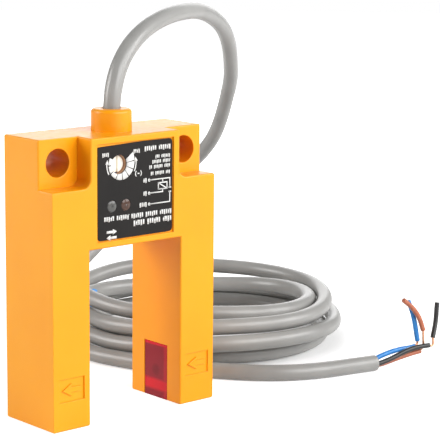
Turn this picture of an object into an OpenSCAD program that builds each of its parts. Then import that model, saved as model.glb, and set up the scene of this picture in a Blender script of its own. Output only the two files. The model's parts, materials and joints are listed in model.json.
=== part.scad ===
// Fork sensor: a U-shaped photoelectric switch. A moulded housing with two legs carries an
// emitter and a receiver that face each other across the slot, a sensitivity trimmer, two
// indicator lamps and a three-core lead that lies coiled behind it.
// Millimetres, +Z up. The label side faces -Y. The origin is midway between the leg ends.

/* [Housing] */
// Width across both legs
body_w = 53; // [52:0.5:60]
// Depth from the label side to the back
body_d = 20.6; // [20:0.2:26]
// Height from the leg ends to the top face
body_h = 74; // [73:0.5:84]
// Width of the sensing slot
slot_w = 30; // [26:0.5:31]
// Height of the sensing slot
slot_h = 45.6; // [40:0.2:46]
// Thickness of the outer walls
wall = 1.8; // [1.4:0.1:2.2]
// Thickness of the wall behind the label
front_wall = 2; // [1.6:0.1:2.6]
// Thickness of the rear cover
cover_t = 1.6; // [1.2:0.1:2.2]
// Width of the ledge that the rear cover sits on
cover_ledge = 0.9; // [0.5:0.1:1.1]

/* [Ears] */
// Width of a bolt ear
ear_w = 12; // [11:0.1:12.5]
// Height of a bolt ear
ear_h = 12.5; // [11:0.1:14]
// Distance from the label side back to an ear's face
ear_set_back = 5.8; // [4:0.1:8]
// Diameter of the bolt hole
ear_hole_d = 7.2; // [5:0.1:8]
// Radius of the rounded inner corner of an ear's notch
notch_r = 2.3; // [1:0.1:3]

/* [Label and marks] */
// Bare border left and right of the label
label_border_x = 2.3; // [1:0.1:3]
// Bare border above and below the label
label_border_z = 2; // [1:0.1:3]
// Thickness of the label
label_t = 0.3; // [0.2:0.05:0.4]
// Depth of the recess that holds the label
label_recess = 0.6; // [0.4:0.05:0.8]
// Radius of the label's corners
label_corner_r = 1; // [0.5:0.1:2]
// How far the label's upper edge falls at its left end
label_trim_h = 0.45; // [0.1:0.05:0.6]
// Length of the label's falling upper edge
label_trim_w = 14; // [10:0.5:20]
// Width of the moulded mark on each leg
mark_w = 7.9; // [6:0.1:9]
// Height of the moulded mark on each leg
mark_h = 6; // [4:0.1:8]
// Height of the mark's centre above the leg end
mark_z = 10.6; // [9:0.1:30]
// Depth of the moulded mark
mark_depth = 0.4; // [0.2:0.05:0.6]
// Bare floor before and behind the raised arrow in the mark
arrow_border = 0.95; // [0.5:0.05:1.2]

/* [Trimmer] */
// Sideways place of the trimmer and the lamps, from the middle
trimmer_x = -5.4; // [-6:0.1:-4.6]
// Distance of the trimmer's body below the main board's upper edge
trimmer_edge = 0.3; // [0.2:0.1:1]
// Diameter of the hole over the trimmer
trimmer_hole_d = 4.8; // [4.6:0.1:5.2]
// Side of the trimmer's square body
trimmer_side = 6.6; // [6:0.1:7]
// Depth of the trimmer's body
trimmer_t = 4.8; // [4:0.1:5.4]
// Diameter of the rotor's slotted head
rotor_d = 4.4; // [4:0.1:4.4]
// Diameter of the rotor's stem
rotor_stem_d = 2.6; // [2:0.1:3]
// Length of the rotor's stem inside the body
rotor_stem_l = 2.4; // [1.6:0.1:3]
// Depth of the rotor's head below the label side
rotor_depth = 1.4; // [0.9:0.1:1.4]
// Width of the screwdriver slot
rotor_slot_w = 0.8; // [0.5:0.1:1]
// Depth of the screwdriver slot
rotor_slot_d = 0.5; // [0.3:0.05:0.5]

/* [Lamps] */
// Diameter of an indicator lamp
led_d = 3; // [2.6:0.1:3.2]
// Length of an indicator lamp
led_l = 5.2; // [4.8:0.1:5.6]
// Distance between the two lamps
led_pitch = 4.5; // [4.4:0.1:5]
// How far the lamps sit below the middle of the space under the trimmer
led_drop = 0.25; // [0:0.05:1]
// Height of a lamp's domed end
led_dome_h = 0.3; // [0.3:0.05:0.6]
// Depth of a lamp's tip below the label side
led_tip_depth = 0.05; // [0:0.05:0.4]

/* [Windows and diodes] */
// Width of a red window
window_w = 9.6; // [7:0.1:10]
// Height of a red window above the leg end
window_h = 15.2; // [13:0.1:17]
// Depth of a window cap, front to open back
window_depth = 2.7; // [2.2:0.1:3]
// Wall of a window cap
window_t = 1; // [0.8:0.1:1.2]
// Distance of a window's face behind the slot's side
window_inset = 0.1; // [0.1:0.05:0.6]
// Width of an emitter or receiver diode
diode_w = 4.4; // [4:0.1:5]
// Height of an emitter or receiver diode
diode_h = 5.6; // [5:0.1:6]
// Thickness of an emitter or receiver diode
diode_t = 1.6; // [1.4:0.1:1.8]
// Radius of a diode's lens
lens_r = 1.3; // [1:0.1:1.5]
// How far a diode's lens stands out
lens_rise = 0.9; // [0.6:0.1:1]

/* [Boards] */
// Clearance between the main board and the bay's sides
board_side_gap = 0.9; // [0.3:0.1:1.5]
// Clearance between the main board and the bay's top and bottom
board_end_gap = 1.9; // [1.5:0.1:2.5]
// Thickness of the main board
board_t = 1.6; // [1.2:0.1:1.8]
// Diameter of a post under the main board
post_d = 3.8; // [3.4:0.1:4.2]
// Distance of the posts from the board's edges
post_edge = 2.2; // [2:0.1:2.4]
// Sideways place of the third post, from the middle
post_mid_x = 1.5; // [1:0.1:2]
// Length of a leg board
leg_board_w = 13; // [11:0.1:14]
// Height of a leg board
leg_board_h = 14; // [12:0.1:18]
// Thickness of a leg board
leg_board_t = 1; // [0.8:0.1:1.2]
// Thickness of the rails that hold a leg board
rail_t = 0.8; // [0.6:0.1:1]
// How far the rails stand out from the wall
rail_rise = 1.8; // [1.4:0.1:2.4]

/* [Lead] */
// Diameter of the lead's jacket
cable_d = 4.6; // [4.2:0.1:4.6]
// Diameter of the boss that the lead leaves
boss_d = 10.6; // [10:0.1:12]
// Height of the boss above the top face
boss_h = 5.7; // [5:0.1:7]
// Rounding of the boss's upper edge
boss_round = 1; // [0.5:0.1:1.2]
// Diameter of the hole that the lead passes
gland_d = 5.2; // [5:0.1:5.6]
// Thickness of the lip that holds the ferrule back
gland_lip = 3.7; // [3:0.1:4.4]
// Outer diameter of the crimped ferrule
ferrule_d = 7.4; // [7:0.1:7.6]
// Length of the crimped ferrule
ferrule_l = 4; // [3:0.1:4.4]
// Diameter of an insulated core
core_d = 1.4; // [1.1:0.1:1.4]
// Diameter of a bare bundle of strands
copper_d = 0.7; // [0.5:0.1:0.8]
// Inner radius of the coil
coil_inner_r = 26; // [24:0.5:28]
// Outer radius of the coil
coil_outer_r = 49.5; // [48:0.5:52]
// Height of the coil
coil_h = 19; // [17:0.5:21]
// Mean radius of the tie's loop
tie_r = 7; // [6.6:0.1:8]
// Thickness of the tie's wire
tie_d = 1.2; // [0.8:0.1:1.6]

/* [Hidden] */
$fn = 64;

// How far a cut runs past the face that it opens, and a joined solid into its carrier
over = 1;
sink = 0.3;
// Clearance round a piece that is let into another, and round a pin in a board
fit_gap = 0.05;
pin_gap = 0.1;
// Radial and axial clearance of the turning rotor
run_gap = 0.05;
// Clearance between the trimmer's body and the wall in front of it
trimmer_gap = 0.2;

// Housing
half_w = body_w / 2;
half_slot = slot_w / 2;
front_y = -body_d / 2;
back_y = body_d / 2;
leg_mid_x = (half_w + half_slot) / 2;
ear_z = body_h - ear_h;
ear_face_y = front_y + ear_set_back;
ear_hole_x = half_w - ear_w / 2;
ear_hole_z = body_h - ear_h / 2;
bay_front_y = front_y + front_wall;
cover_y = back_y - cover_t;
upper_bay_x = half_w - ear_w - wall;
label_w = body_w - 2 * ear_w - 2 * label_border_x;
label_h = body_h - slot_h - 2 * label_border_z;
label_z = (slot_h + body_h) / 2;
label_floor_y = front_y + label_recess;
label_gap = 0.3;
// Raised arrow in a mark: its length, and its head and shaft as shares of the arrow or the mark
arrow_l = mark_w - 2 * arrow_border;
head_l_share = 0.48;
head_h_share = 0.55;
shaft_h_share = 0.22;
arrow_neck_x = (head_l_share - 1 / 2) * arrow_l;
arrow_head_z = head_h_share * mark_h / 2;
arrow_shaft_z = shaft_h_share * mark_h / 2;

// Main board's place, and the trimmer and the lamps on its front
board_w = 2 * (upper_bay_x - board_side_gap);
board_low = slot_h + wall + board_end_gap;
board_top = body_h - wall - board_end_gap;
board_h = board_top - board_low;
board_z = (board_low + board_top) / 2;
trimmer_z = board_top - trimmer_edge - trimmer_side / 2;
trimmer_front_y = bay_front_y + trimmer_gap;
rotor_face_y = front_y + rotor_depth;
rotor_back_y = trimmer_front_y - run_gap;
trimmer_pin_d = 0.6;
trimmer_pin_low = -2;
trimmer_pins = [[-2.5, trimmer_pin_low], [2.5, trimmer_pin_low], [0, 2.2]];
led_z = (trimmer_z - trimmer_side / 2 + board_low) / 2 - led_drop;
led_places = [trimmer_x - led_pitch / 2, trimmer_x + led_pitch / 2];
led_hole_gap = 0.1;
led_hole_d = led_d + 2 * led_hole_gap;
led_film_hole_d = led_d + 2 * fit_gap;
led_flange_rim = 0.4;
led_flange_d = led_d + 2 * led_flange_rim;
led_flange_t = 1;
led_pin_d = 0.5;
led_pin_x = 1.27;
led_seat_y = front_y + led_tip_depth + led_l;
led_shoulder = led_l - led_dome_h;
// Radius of the ball whose cap is a lamp's domed end
led_dome_r = (pow(led_d / 2, 2) + pow(led_dome_h, 2)) / (2 * led_dome_h);
board_y0 = trimmer_front_y + trimmer_t;
board_y1 = board_y0 + board_t;

// Posts and screws that hold the main board
post_x = board_w / 2 - post_edge;
post_low = board_low + post_edge;
post_places = [[post_x, board_top - post_edge], [post_x, post_low], [post_mid_x, post_low]];
pilot_d = 1.7;
pilot_l = 4;
screw_d = 1.6;
screw_l = 5;
screw_head_d = 3.2;
screw_head_h = 1.2;
screw_hole_d = 2;
screw_slot_w = 0.5;
pin_end = 0.8;

// What is soldered to the back of the main board: sizes and places
part_gap = 0.3;
ic_size = [8.6, 1.5, 3.9];
ic_lead = [0.4, 0.5, 1.1];
ic_pitch = 1.27;
ic_leads = 7;
ic_x = 3.6;
ic_reach = ic_size[2] / 2 + ic_lead[2] - sink;
transistor_size = [2.9, 1.1, 1.3];
transistor_lead = [0.4, 0.4, 0.9];
transistor_pitch = 1.9;
transistor_z = (led_z + led_pin_x + trimmer_z + trimmer_pin_low) / 2;
clamp_size = [1.6, 1.2, 2.7];
clamp_lead = [0.9, 0.5, 0.8];
clamp_side = 1.8;
clamp_drop = 2.6;
clamp_x = clamp_side - board_w / 2;
clamp_z = board_top - clamp_drop;
capacitor_size = [2.8, 1.6, 1.5];
capacitor_lead = [0.6, 0.6, 1.1];
capacitor_x = ic_x + 2.3;
capacitor_z = board_z + ic_reach + 2 * part_gap + capacitor_size[2] / 2;
resistor_size = [1.25, 0.5, 2];
resistor_low_pitch = 1.4;
resistor_low_x = ic_x + 0.5;
resistor_low_z = board_z - ic_reach - part_gap - resistor_size[2] / 2;
resistor_side_x = ic_x - ic_size[0] / 2 - part_gap - resistor_size[0];
resistor_side_pitch = resistor_size[2] + part_gap;

// Windows, leg boards and diodes, measured from the slot's side outwards
window_back = window_inset + window_depth;
diode_gap = 0.2;
diode_x = half_slot + window_back + diode_gap;
leg_board_x = diode_x + diode_t;
leg_board_y = bay_front_y + pin_gap;
leg_board_top = wall + leg_board_h;
diode_z = window_h / 2;
diode_pin_d = 0.5;
diode_pin_y = 1.27;

// Gland
boss_top = body_h + boss_h;
ferrule_top = boss_top - gland_lip;
ferrule_bore_d = cable_d + 2 * fit_gap;
ferrule_seat_d = ferrule_d + 4 * fit_gap;

// Wires from the main board to the leg boards
wire_d = 0.9;
wire_pitch = 1.6;
wire_bend = 1;
wire_rise = 2.4;
wire_side = 2.4;
wire_pad_rise = 5;
wire_floor_gap = 1.5;
wire_end_drop = 2.5;
wire_y = board_y1 + wire_rise;
wire_start_x = board_w / 2 - wire_side;
wire_start_z = board_low + wire_pad_rise;
wire_leg_x = leg_board_x + leg_board_t + pin_gap + wire_d / 2;
wire_end_z = leg_board_top - wire_end_drop;
wire_turn_z = slot_h + wall + wire_floor_gap;

// Inner cores, from the jacket's end to the back of the main board
jacket_stub = 1.2;
jacket_end_z = body_h - wall - jacket_stub;
core_ring_r = 1;
core_start_l = 0.6;
core_spread = 0.6;
core_bend = 1;
core_rise = 1.7;
core_pad_x = 3.2;
core_pad_drop = 2.5;
core_pad_z = board_top - core_pad_drop;

// Lead: centre line of the stretch from the ferrule to the coil
riser_route = [
    [0, 0, jacket_end_z], [0, 0, ferrule_top], [0, 0, boss_top + 0.3], [0.5, 0, boss_top + 5],
    [2, 0.5, boss_top + 9], [5, 1.5, boss_top + 13], [10, 3, boss_top + 17], [17, 6, 99.5],
    [27, 10.5, 101.5], [38, 16.5, 102], [49, 23.5, 101.5], [60, 31, 99.5], [70, 38, 96.5],
    [79, 45, 92.5], [86, 51, 87.5], [92, 57, 82], [97.5, 63, 76], [102, 70, 69], [106, 77, 61.5],
    [108.5, 84, 53.5], [108, 91, 46.5], [104, 96, 40.5], [97, 98.5, 36], [88, 98, 32.5],
    [78, 94.5, 29.5], [68, 88.5, 27], [58, 81, 24.5], [48, 77.8, 21.3], [38.5, 72.5, 17.3]
];
// Lead: centre line from the coil to the end of the jacket
tail_z = cable_d / 2;
tail_route = [
    [29, 24, tail_z], [33, 14, tail_z], [39.5, 4, tail_z], [46.5, -5, tail_z], [54.5, -11.5, tail_z],
    [64, -15.5, tail_z], [73, -17.2, tail_z], [80.8, -19, tail_z]
];
jacket_sides = 10;
core_sides = 8;
// Coil and its tie
coil_x = 72;
coil_y = 43;
coil_round = 5;
tie_turn = 152;
tie_from_centre = 43;
tie_z = 12.4;

// Cores beyond the jacket, bare strands, and the cut insulation left on the strands
core_route_blue = [[80.2, -18.9, 3.3], [82.7, -19.3, 4.1], [86.3, -19.8, 4.8], [90.1, -20.2, 5.1],
    [93.3, -20.4, 5], [95.6, -20.4, 5.1]];
core_route_black = [[80, -20, 2.2], [82.3, -20.6, 2.6], [85.6, -21.2, 3.4], [90, -21.9, 4.7],
    [93.8, -22.6, 5.4], [98.6, -23.5, 5.5]];
core_route_brown = [[80.4, -18.5, 1.5], [83.6, -19.1, 1.6], [88, -19.9, 2.4], [93, -21, 3.3],
    [96.6, -21.9, 3.8]];
copper_route_blue = [[95.2, -20.4, 5.1], [96.3, -20.7, 5.7], [96.4, -20.8, 7]];
copper_route_black = [[98.2, -23.4, 5.5], [99.6, -23.7, 5.3], [99.9, -23.7, 6.3], [99.9, -23.5, 7.9]];
copper_route_brown = [[96.2, -21.8, 3.7], [97.5, -22, 5.1], [97.4, -22.1, 7.5], [97.5, -21.9, 10.2]];
slug_route_blue = [[96.4, -20.8, 6.6], [95.7, -20, 12.5], [95.1, -19.4, 15.6], [94, -18.9, 18.6]];
slug_route_black = [[99.9, -23.5, 7.5], [101.6, -22.9, 11.9], [102.6, -22.4, 17.5]];
slug_route_brown = [[97.5, -21.9, 9.8], [96, -21.5, 13.7], [93.6, -21, 16.9], [90.3, -20.4, 19.6]];

// Colours
housing_yellow = [1, 0.7, 0.15];
label_black = [0.2, 0.19, 0.19];
window_red = [0.75, 0.07, 0.12];
board_green = [0.08, 0.35, 0.18];
chip_black = [0.1, 0.1, 0.1];
metal_grey = [0.75, 0.75, 0.76];
jacket_grey = [0.55, 0.54, 0.53];
copper = [0.8, 0.45, 0.28];
core_blue_colour = [0.1, 0.38, 0.78];
core_black_colour = [0.12, 0.12, 0.13];
core_brown_colour = [0.68, 0.33, 0.2];

// Shared shapes

// A flat outline drawn in X and Z, thickened from y0 to y1
module slab(y0, y1) {
    translate([0, y1, 0])
        rotate([90, 0, 0])
            linear_extrude(y1 - y0)
                children();
}

// A box between two corners
module block(low, high) {
    translate(low)
        cube(high - low);
}

// A round bar along Y
module bar_y(x, z, d, y0, y1) {
    translate([x, y1, z])
        rotate([90, 0, 0])
            cylinder(h = y1 - y0, d = d);
}

// The same shape on the right leg and on the left leg
module both_sides() {
    for (flip = [0, 1])
        mirror([flip, 0, 0])
            children();
}

// A rectangle with round corners, centred
module soft_rectangle(w, h, r) {
    square([w - 2 * r, h], center = true);
    square([w, h - 2 * r], center = true);
    for (x = [-1, 1], y = [-1, 1])
        translate([x * (w / 2 - r), y * (h / 2 - r)])
            circle(r);
}

// A round tube swept along a list of points
function unit(v) = v / norm(v);
function run_dir(p, i) = unit(p[min(i + 1, len(p) - 1)] - p[max(i - 1, 0)]);
function square_to(n, t) = unit(n - (n * t) * t);
function first_side(t) = abs(t[2]) > 0.9 ? [1, 0, 0] : [0, 0, 1];
function side_dir(p, i) = square_to(i == 0 ? first_side(run_dir(p, 0)) : side_dir(p, i - 1), run_dir(p, i));
function ring(c, t, n, r, sides) = [
    for (k = [0 : sides - 1])
        c + r * (cos(360 * k / sides) * n + sin(360 * k / sides) * cross(t, n))
];

module tube(route, d, sides) {
    last = len(route) - 1;
    points = [
        for (i = [0 : last])
            each ring(route[i], run_dir(route, i), side_dir(route, i), d / 2, sides)
    ];
    walls = [
        for (i = [0 : last - 1], k = [0 : sides - 1])
            let (a = i * sides + k, b = i * sides + (k + 1) % sides)
                each [[a, a + sides, b], [b, a + sides, b + sides]]
    ];
    start_cap = [for (k = [0 : sides - 1]) k];
    end_cap = [for (k = [sides - 1 : -1 : 0]) last * sides + k];
    polyhedron(points = points, faces = concat(walls, [start_cap, end_cap]));
}

// Housing

module fork_outline() {
    polygon([
        [-half_w, 0], [-half_slot, 0], [-half_slot, slot_h], [half_slot, slot_h],
        [half_slot, 0], [half_w, 0], [half_w, body_h], [-half_w, body_h]
    ]);
}

// The cut in front of the right ear, with its inner corner rounded
module notch_outline() {
    x0 = half_w - ear_w;
    translate([x0 + notch_r, ear_z])
        square([ear_w - notch_r + over, ear_h + over]);
    translate([x0, ear_z + notch_r])
        square([ear_w + over, ear_h - notch_r + over]);
    translate([x0 + notch_r, ear_z + notch_r])
        circle(notch_r);
}

// The hollow inside legs and crossbar, grown outwards for the cover's seat
module bay_outline(grow) {
    bar_x = half_w - wall + grow;
    bar_low = slot_h + wall - grow;
    bar_high = ear_z - wall + grow;
    leg_x = half_slot + wall - grow;
    leg_low = wall - grow;
    upper_x = upper_bay_x + grow;
    upper_high = body_h - wall + grow;
    polygon([
        [-bar_x, leg_low], [-leg_x, leg_low], [-leg_x, bar_low], [leg_x, bar_low],
        [leg_x, leg_low], [bar_x, leg_low], [bar_x, bar_high], [upper_x, bar_high],
        [upper_x, upper_high], [-upper_x, upper_high], [-upper_x, bar_high], [-bar_x, bar_high]
    ]);
}

module cable_boss() {
    translate([0, 0, body_h - wall])
        rotate_extrude() {
            square([boss_d / 2 - boss_round, boss_h + wall]);
            square([boss_d / 2, boss_h + wall - boss_round]);
            translate([boss_d / 2 - boss_round, boss_h + wall - boss_round])
                circle(boss_round);
        }
}

// The opening for the right window cap, through the slot's side and the leg's end
module window_opening() {
    block([half_slot - over, -window_w / 2, -over], [half_slot + window_back, window_w / 2, window_h]);
}

module board_post(place) {
    difference() {
        bar_y(place[0], place[1], post_d, bay_front_y - sink, board_y0);
        bar_y(place[0], place[1], pilot_d, board_y0 - pilot_l, board_y0 + over);
    }
}

// The two rails that hold the right leg's board by its front edge
module leg_rails() {
    for (x = [leg_board_x - pin_gap - rail_t, leg_board_x + leg_board_t + pin_gap])
        block([x, bay_front_y - sink, wall - sink], [x + rail_t, bay_front_y + rail_rise, leg_board_top]);
}

// An arrow from the emitter's side to the receiver's side
module arrow_outline() {
    polygon([
        [-arrow_l / 2, 0], [arrow_neck_x, arrow_head_z], [arrow_neck_x, arrow_shaft_z],
        [arrow_l / 2, arrow_shaft_z], [arrow_l / 2, -arrow_shaft_z],
        [arrow_neck_x, -arrow_shaft_z], [arrow_neck_x, -arrow_head_z]
    ]);
}

module mark_recess(x) {
    slab(front_y - over, front_y + mark_depth)
        translate([x, mark_z])
            difference() {
                square([mark_w, mark_h], center = true);
                arrow_outline();
            }
}

module housing() {
    color(housing_yellow) {
        difference() {
            union() {
                slab(front_y, back_y)
                    fork_outline();
                cable_boss();
            }
            both_sides()
                slab(front_y - over, ear_face_y)
                    notch_outline();
            slab(bay_front_y, back_y + over)
                bay_outline(0);
            slab(cover_y, back_y + over)
                bay_outline(cover_ledge);
            slab(front_y - over, label_floor_y)
                translate([0, label_z])
                    square([label_w + 2 * label_gap, label_h + 2 * label_gap], center = true);
            bar_y(trimmer_x, trimmer_z, trimmer_hole_d, front_y, bay_front_y + over);
            for (x = led_places)
                bar_y(x, led_z, led_hole_d, front_y, bay_front_y + over);
            both_sides()
                bar_y(ear_hole_x, ear_hole_z, ear_hole_d, ear_face_y - over, back_y + over);
            both_sides()
                window_opening();
            for (x = [-leg_mid_x, leg_mid_x])
                mark_recess(x);
            translate([0, 0, body_h - wall - over])
                cylinder(h = boss_h + wall + 2 * over, d = gland_d);
            translate([0, 0, body_h - wall - over])
                cylinder(h = ferrule_top - body_h + wall + over, d = ferrule_seat_d);
        }
        for (place = post_places)
            board_post(place);
        both_sides()
            leg_rails();
    }
}

module rear_cover() {
    color(housing_yellow)
        slab(cover_y, back_y)
            bay_outline(cover_ledge - fit_gap);
}

module label_plate() {
    color(label_black)
        difference() {
            slab(label_floor_y - label_t, label_floor_y)
                translate([0, label_z])
                    soft_rectangle(label_w, label_h, label_corner_r);
            slab(front_y, label_floor_y + over)
                translate([-label_w / 2, label_z + label_h / 2])
                    polygon([[-over, over], [-over, -label_trim_h], [0, -label_trim_h], [label_trim_w, 0],
                        [label_trim_w, over]]);
            bar_y(trimmer_x, trimmer_z, trimmer_hole_d, front_y, bay_front_y);
            for (x = led_places)
                bar_y(x, led_z, led_film_hole_d, front_y, bay_front_y);
        }
}

// The right window cap: a shallow red box, open towards the diode
module window_cap() {
    face_x = half_slot + window_inset;
    side_y = window_w / 2 - fit_gap;
    top_z = window_h - fit_gap;
    difference() {
        block([face_x, -side_y, 0], [face_x + window_depth - fit_gap, side_y, top_z]);
        block(
            [face_x + window_t, window_t - side_y, window_t],
            [face_x + window_depth + over, side_y - window_t, top_z - window_t]
        );
    }
}

module emitter_window() {
    color(window_red)
        window_cap();
}

module receiver_window() {
    color(window_red)
        mirror([1, 0, 0])
            window_cap();
}

// Trimmer and lamps

module trimmer_body() {
    color([0.16, 0.3, 0.62]) {
        difference() {
            slab(trimmer_front_y, board_y0)
                translate([trimmer_x, trimmer_z])
                    square(trimmer_side, center = true);
            bar_y(
                trimmer_x, trimmer_z, rotor_stem_d + 2 * run_gap,
                trimmer_front_y - over, trimmer_front_y + rotor_stem_l + 2 * run_gap
            );
        }
        for (pin = trimmer_pins)
            bar_y(trimmer_x + pin[0], trimmer_z + pin[1], trimmer_pin_d, board_y0 - sink, board_y1 + pin_end);
    }
}

module trimmer_rotor() {
    color([0.93, 0.9, 0.84])
        difference() {
            union() {
                bar_y(trimmer_x, trimmer_z, rotor_d, rotor_face_y, rotor_back_y);
                bar_y(trimmer_x, trimmer_z, rotor_stem_d, rotor_face_y + sink, rotor_back_y + rotor_stem_l);
            }
            block(
                [trimmer_x - rotor_slot_w / 2, rotor_face_y - over, trimmer_z - rotor_d],
                [trimmer_x + rotor_slot_w / 2, rotor_face_y + rotor_slot_d, trimmer_z + rotor_d]
            );
        }
}

// A round lamp that points at the label side, with its flange and its two pins
module indicator_lamp(x) {
    translate([x, led_seat_y, led_z])
        rotate([90, 0, 0]) {
            cylinder(h = led_flange_t, d = led_flange_d);
            cylinder(h = led_shoulder, d = led_d);
            intersection() {
                translate([0, 0, led_l - led_dome_r])
                    sphere(led_dome_r);
                translate([0, 0, led_shoulder - sink])
                    cylinder(h = led_dome_h + sink + over, d = led_d);
            }
        }
    for (side = [-1, 1])
        bar_y(x, led_z + side * led_pin_x, led_pin_d, led_seat_y - sink, board_y1 + pin_end);
}

module power_led() {
    color([0.62, 0.62, 0.6])
        indicator_lamp(led_places[0]);
}

module output_led() {
    color([0.5, 0.4, 0.36])
        indicator_lamp(led_places[1]);
}

// Main board and what is on it

module main_board() {
    color(board_green)
        difference() {
            slab(board_y0, board_y1)
                translate([0, board_z])
                    square([board_w, board_h], center = true);
            for (place = post_places)
                bar_y(place[0], place[1], screw_hole_d, board_y0 - over, board_y1 + over);
            for (pin = trimmer_pins)
                bar_y(
                    trimmer_x + pin[0], trimmer_z + pin[1], trimmer_pin_d + 2 * pin_gap,
                    board_y0 - over, board_y1 + over
                );
            for (x = led_places, side = [-1, 1])
                bar_y(x, led_z + side * led_pin_x, led_pin_d + 2 * pin_gap, board_y0 - over, board_y1 + over);
        }
}

module board_screws() {
    color(metal_grey)
        for (place = post_places)
            difference() {
                union() {
                    bar_y(place[0], place[1], screw_d, board_y1 + sink - screw_l, board_y1 + sink);
                    bar_y(place[0], place[1], screw_head_d, board_y1, board_y1 + screw_head_h);
                }
                translate([place[0], board_y1 + screw_head_h, place[1]])
                    cube([screw_head_d + over, screw_head_h, screw_slot_w], center = true);
            }
}

// A chip's body, or one of its leads, on the back of the main board, centred at x, z
module chip(x, z, size) {
    translate([x - size[0] / 2, board_y1, z - size[2] / 2])
        cube(size);
}

module control_ic() {
    color(chip_black) {
        chip(ic_x, board_z, ic_size);
        for (i = [0 : ic_leads - 1], side = [-1, 1])
            chip(
                ic_x + (i - (ic_leads - 1) / 2) * ic_pitch,
                board_z + side * (ic_reach - ic_lead[2] / 2),
                ic_lead
            );
    }
}

module output_transistor() {
    lead_z = (transistor_size[2] + transistor_lead[2]) / 2 - sink;
    color(chip_black) {
        chip(trimmer_x, transistor_z, transistor_size);
        for (side = [-1, 1])
            chip(trimmer_x + side * transistor_pitch / 2, transistor_z - lead_z, transistor_lead);
        chip(trimmer_x, transistor_z + lead_z, transistor_lead);
    }
}

module protection_diode() {
    lead_z = (clamp_size[2] + clamp_lead[2]) / 2 - sink;
    color(chip_black) {
        chip(clamp_x, clamp_z, clamp_size);
        for (side = [-1, 1])
            chip(clamp_x, clamp_z + side * lead_z, clamp_lead);
    }
}

module filter_capacitor() {
    lead_x = (capacitor_size[0] + capacitor_lead[0]) / 2 - sink;
    color(chip_black) {
        chip(capacitor_x, capacitor_z, capacitor_size);
        for (side = [-1, 1])
            chip(capacitor_x + side * lead_x, capacitor_z, capacitor_lead);
    }
}

module chip_resistors() {
    color(chip_black) {
        for (i = [0 : 1])
            chip(resistor_low_x + i * resistor_low_pitch, resistor_low_z, resistor_size);
        for (i = [-1 : 1])
            chip(resistor_side_x, board_z + i * resistor_side_pitch, resistor_size);
    }
}

// Leg boards and their diodes

module leg_board() {
    difference() {
        block(
            [leg_board_x, leg_board_y, wall],
            [leg_board_x + leg_board_t, leg_board_y + leg_board_w, leg_board_top]
        );
        for (side = [-1, 1])
            translate([leg_board_x - over, side * diode_pin_y, diode_z])
                rotate([0, 90, 0])
                    cylinder(h = leg_board_t + 2 * over, d = diode_pin_d + 2 * pin_gap);
    }
}

// A flat diode whose lens looks across the slot
module slot_diode() {
    lens_x = diode_x - lens_rise + lens_r;
    block(
        [diode_x, -diode_w / 2, diode_z - diode_h / 2],
        [diode_x + diode_t, diode_w / 2, diode_z + diode_h / 2]
    );
    intersection() {
        translate([lens_x, 0, diode_z])
            sphere(lens_r);
        block(
            [diode_x - lens_r, -lens_r, diode_z - lens_r],
            [diode_x + sink, lens_r, diode_z + lens_r]
        );
    }
    for (side = [-1, 1])
        translate([diode_x + diode_t - sink, side * diode_pin_y, diode_z])
            rotate([0, 90, 0])
                cylinder(h = leg_board_t + pin_end + sink, d = diode_pin_d);
}

// A wire from the main board's right edge, along the crossbar's floor and down the right leg
module leg_wire(shift) {
    y = wire_y + shift;
    z = wire_start_z + shift;
    route = [
        [wire_start_x, board_y1, z],
        [wire_start_x, y - wire_bend, z],
        [wire_start_x, y, z - wire_bend],
        [wire_start_x, y, wire_turn_z + wire_bend],
        [wire_start_x + wire_bend, y, wire_turn_z],
        [wire_leg_x - wire_bend, y, wire_turn_z],
        [wire_leg_x, y, wire_turn_z - wire_bend],
        [wire_leg_x, y, wire_end_z]
    ];
    tube(route, wire_d, core_sides);
}

module leg_wires() {
    for (shift = [0, wire_pitch])
        leg_wire(shift);
}

module emitter_board() {
    color(board_green)
        leg_board();
}

module receiver_board() {
    color(board_green)
        mirror([1, 0, 0])
            leg_board();
}

module emitter_diode() {
    color([0.35, 0.4, 0.5])
        slot_diode();
}

module receiver_diode() {
    color([0.15, 0.13, 0.15])
        mirror([1, 0, 0])
            slot_diode();
}

module emitter_wires() {
    color([0.75, 0.12, 0.1])
        leg_wires();
}

module receiver_wires() {
    color([0.9, 0.85, 0.3])
        mirror([1, 0, 0])
            leg_wires();
}

// Lead

module cable_ferrule() {
    color(metal_grey)
        translate([0, 0, ferrule_top - ferrule_l])
            difference() {
                cylinder(h = ferrule_l, d = ferrule_d);
                translate([0, 0, -over])
                    cylinder(h = ferrule_l + 2 * over, d = ferrule_bore_d);
            }
}

// A core from the jacket's end to its pad: turn is its place round the lead's axis
module inner_core(turn, pad) {
    x = core_ring_r * cos(turn);
    y = core_ring_r * sin(turn);
    pad_x = pad * core_pad_x;
    bend_y = board_y1 + core_rise + core_bend;
    route = [
        [x, y, jacket_end_z],
        [x, y, jacket_end_z - core_start_l],
        [pad_x * core_spread, bend_y, (jacket_end_z + core_pad_z) / 2],
        [pad_x, bend_y, core_pad_z + core_bend],
        [pad_x, board_y1 + core_rise, core_pad_z],
        [pad_x, board_y1, core_pad_z]
    ];
    tube(route, core_d, core_sides);
}

module inner_core_blue() {
    color(core_blue_colour)
        inner_core(180, -1);
}

module inner_core_black() {
    color(core_black_colour)
        inner_core(90, 0);
}

module inner_core_brown() {
    color(core_brown_colour)
        inner_core(0, 1);
}

module cable_riser() {
    color(jacket_grey)
        tube(riser_route, cable_d, jacket_sides);
}

module cable_coil() {
    color(jacket_grey)
        translate([coil_x, coil_y, 0])
            rotate_extrude()
                translate([(coil_inner_r + coil_outer_r) / 2, coil_h / 2])
                    soft_rectangle(coil_outer_r - coil_inner_r, coil_h, coil_round);
}

module cable_tail() {
    color(jacket_grey)
        tube(tail_route, cable_d, jacket_sides);
}

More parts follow.
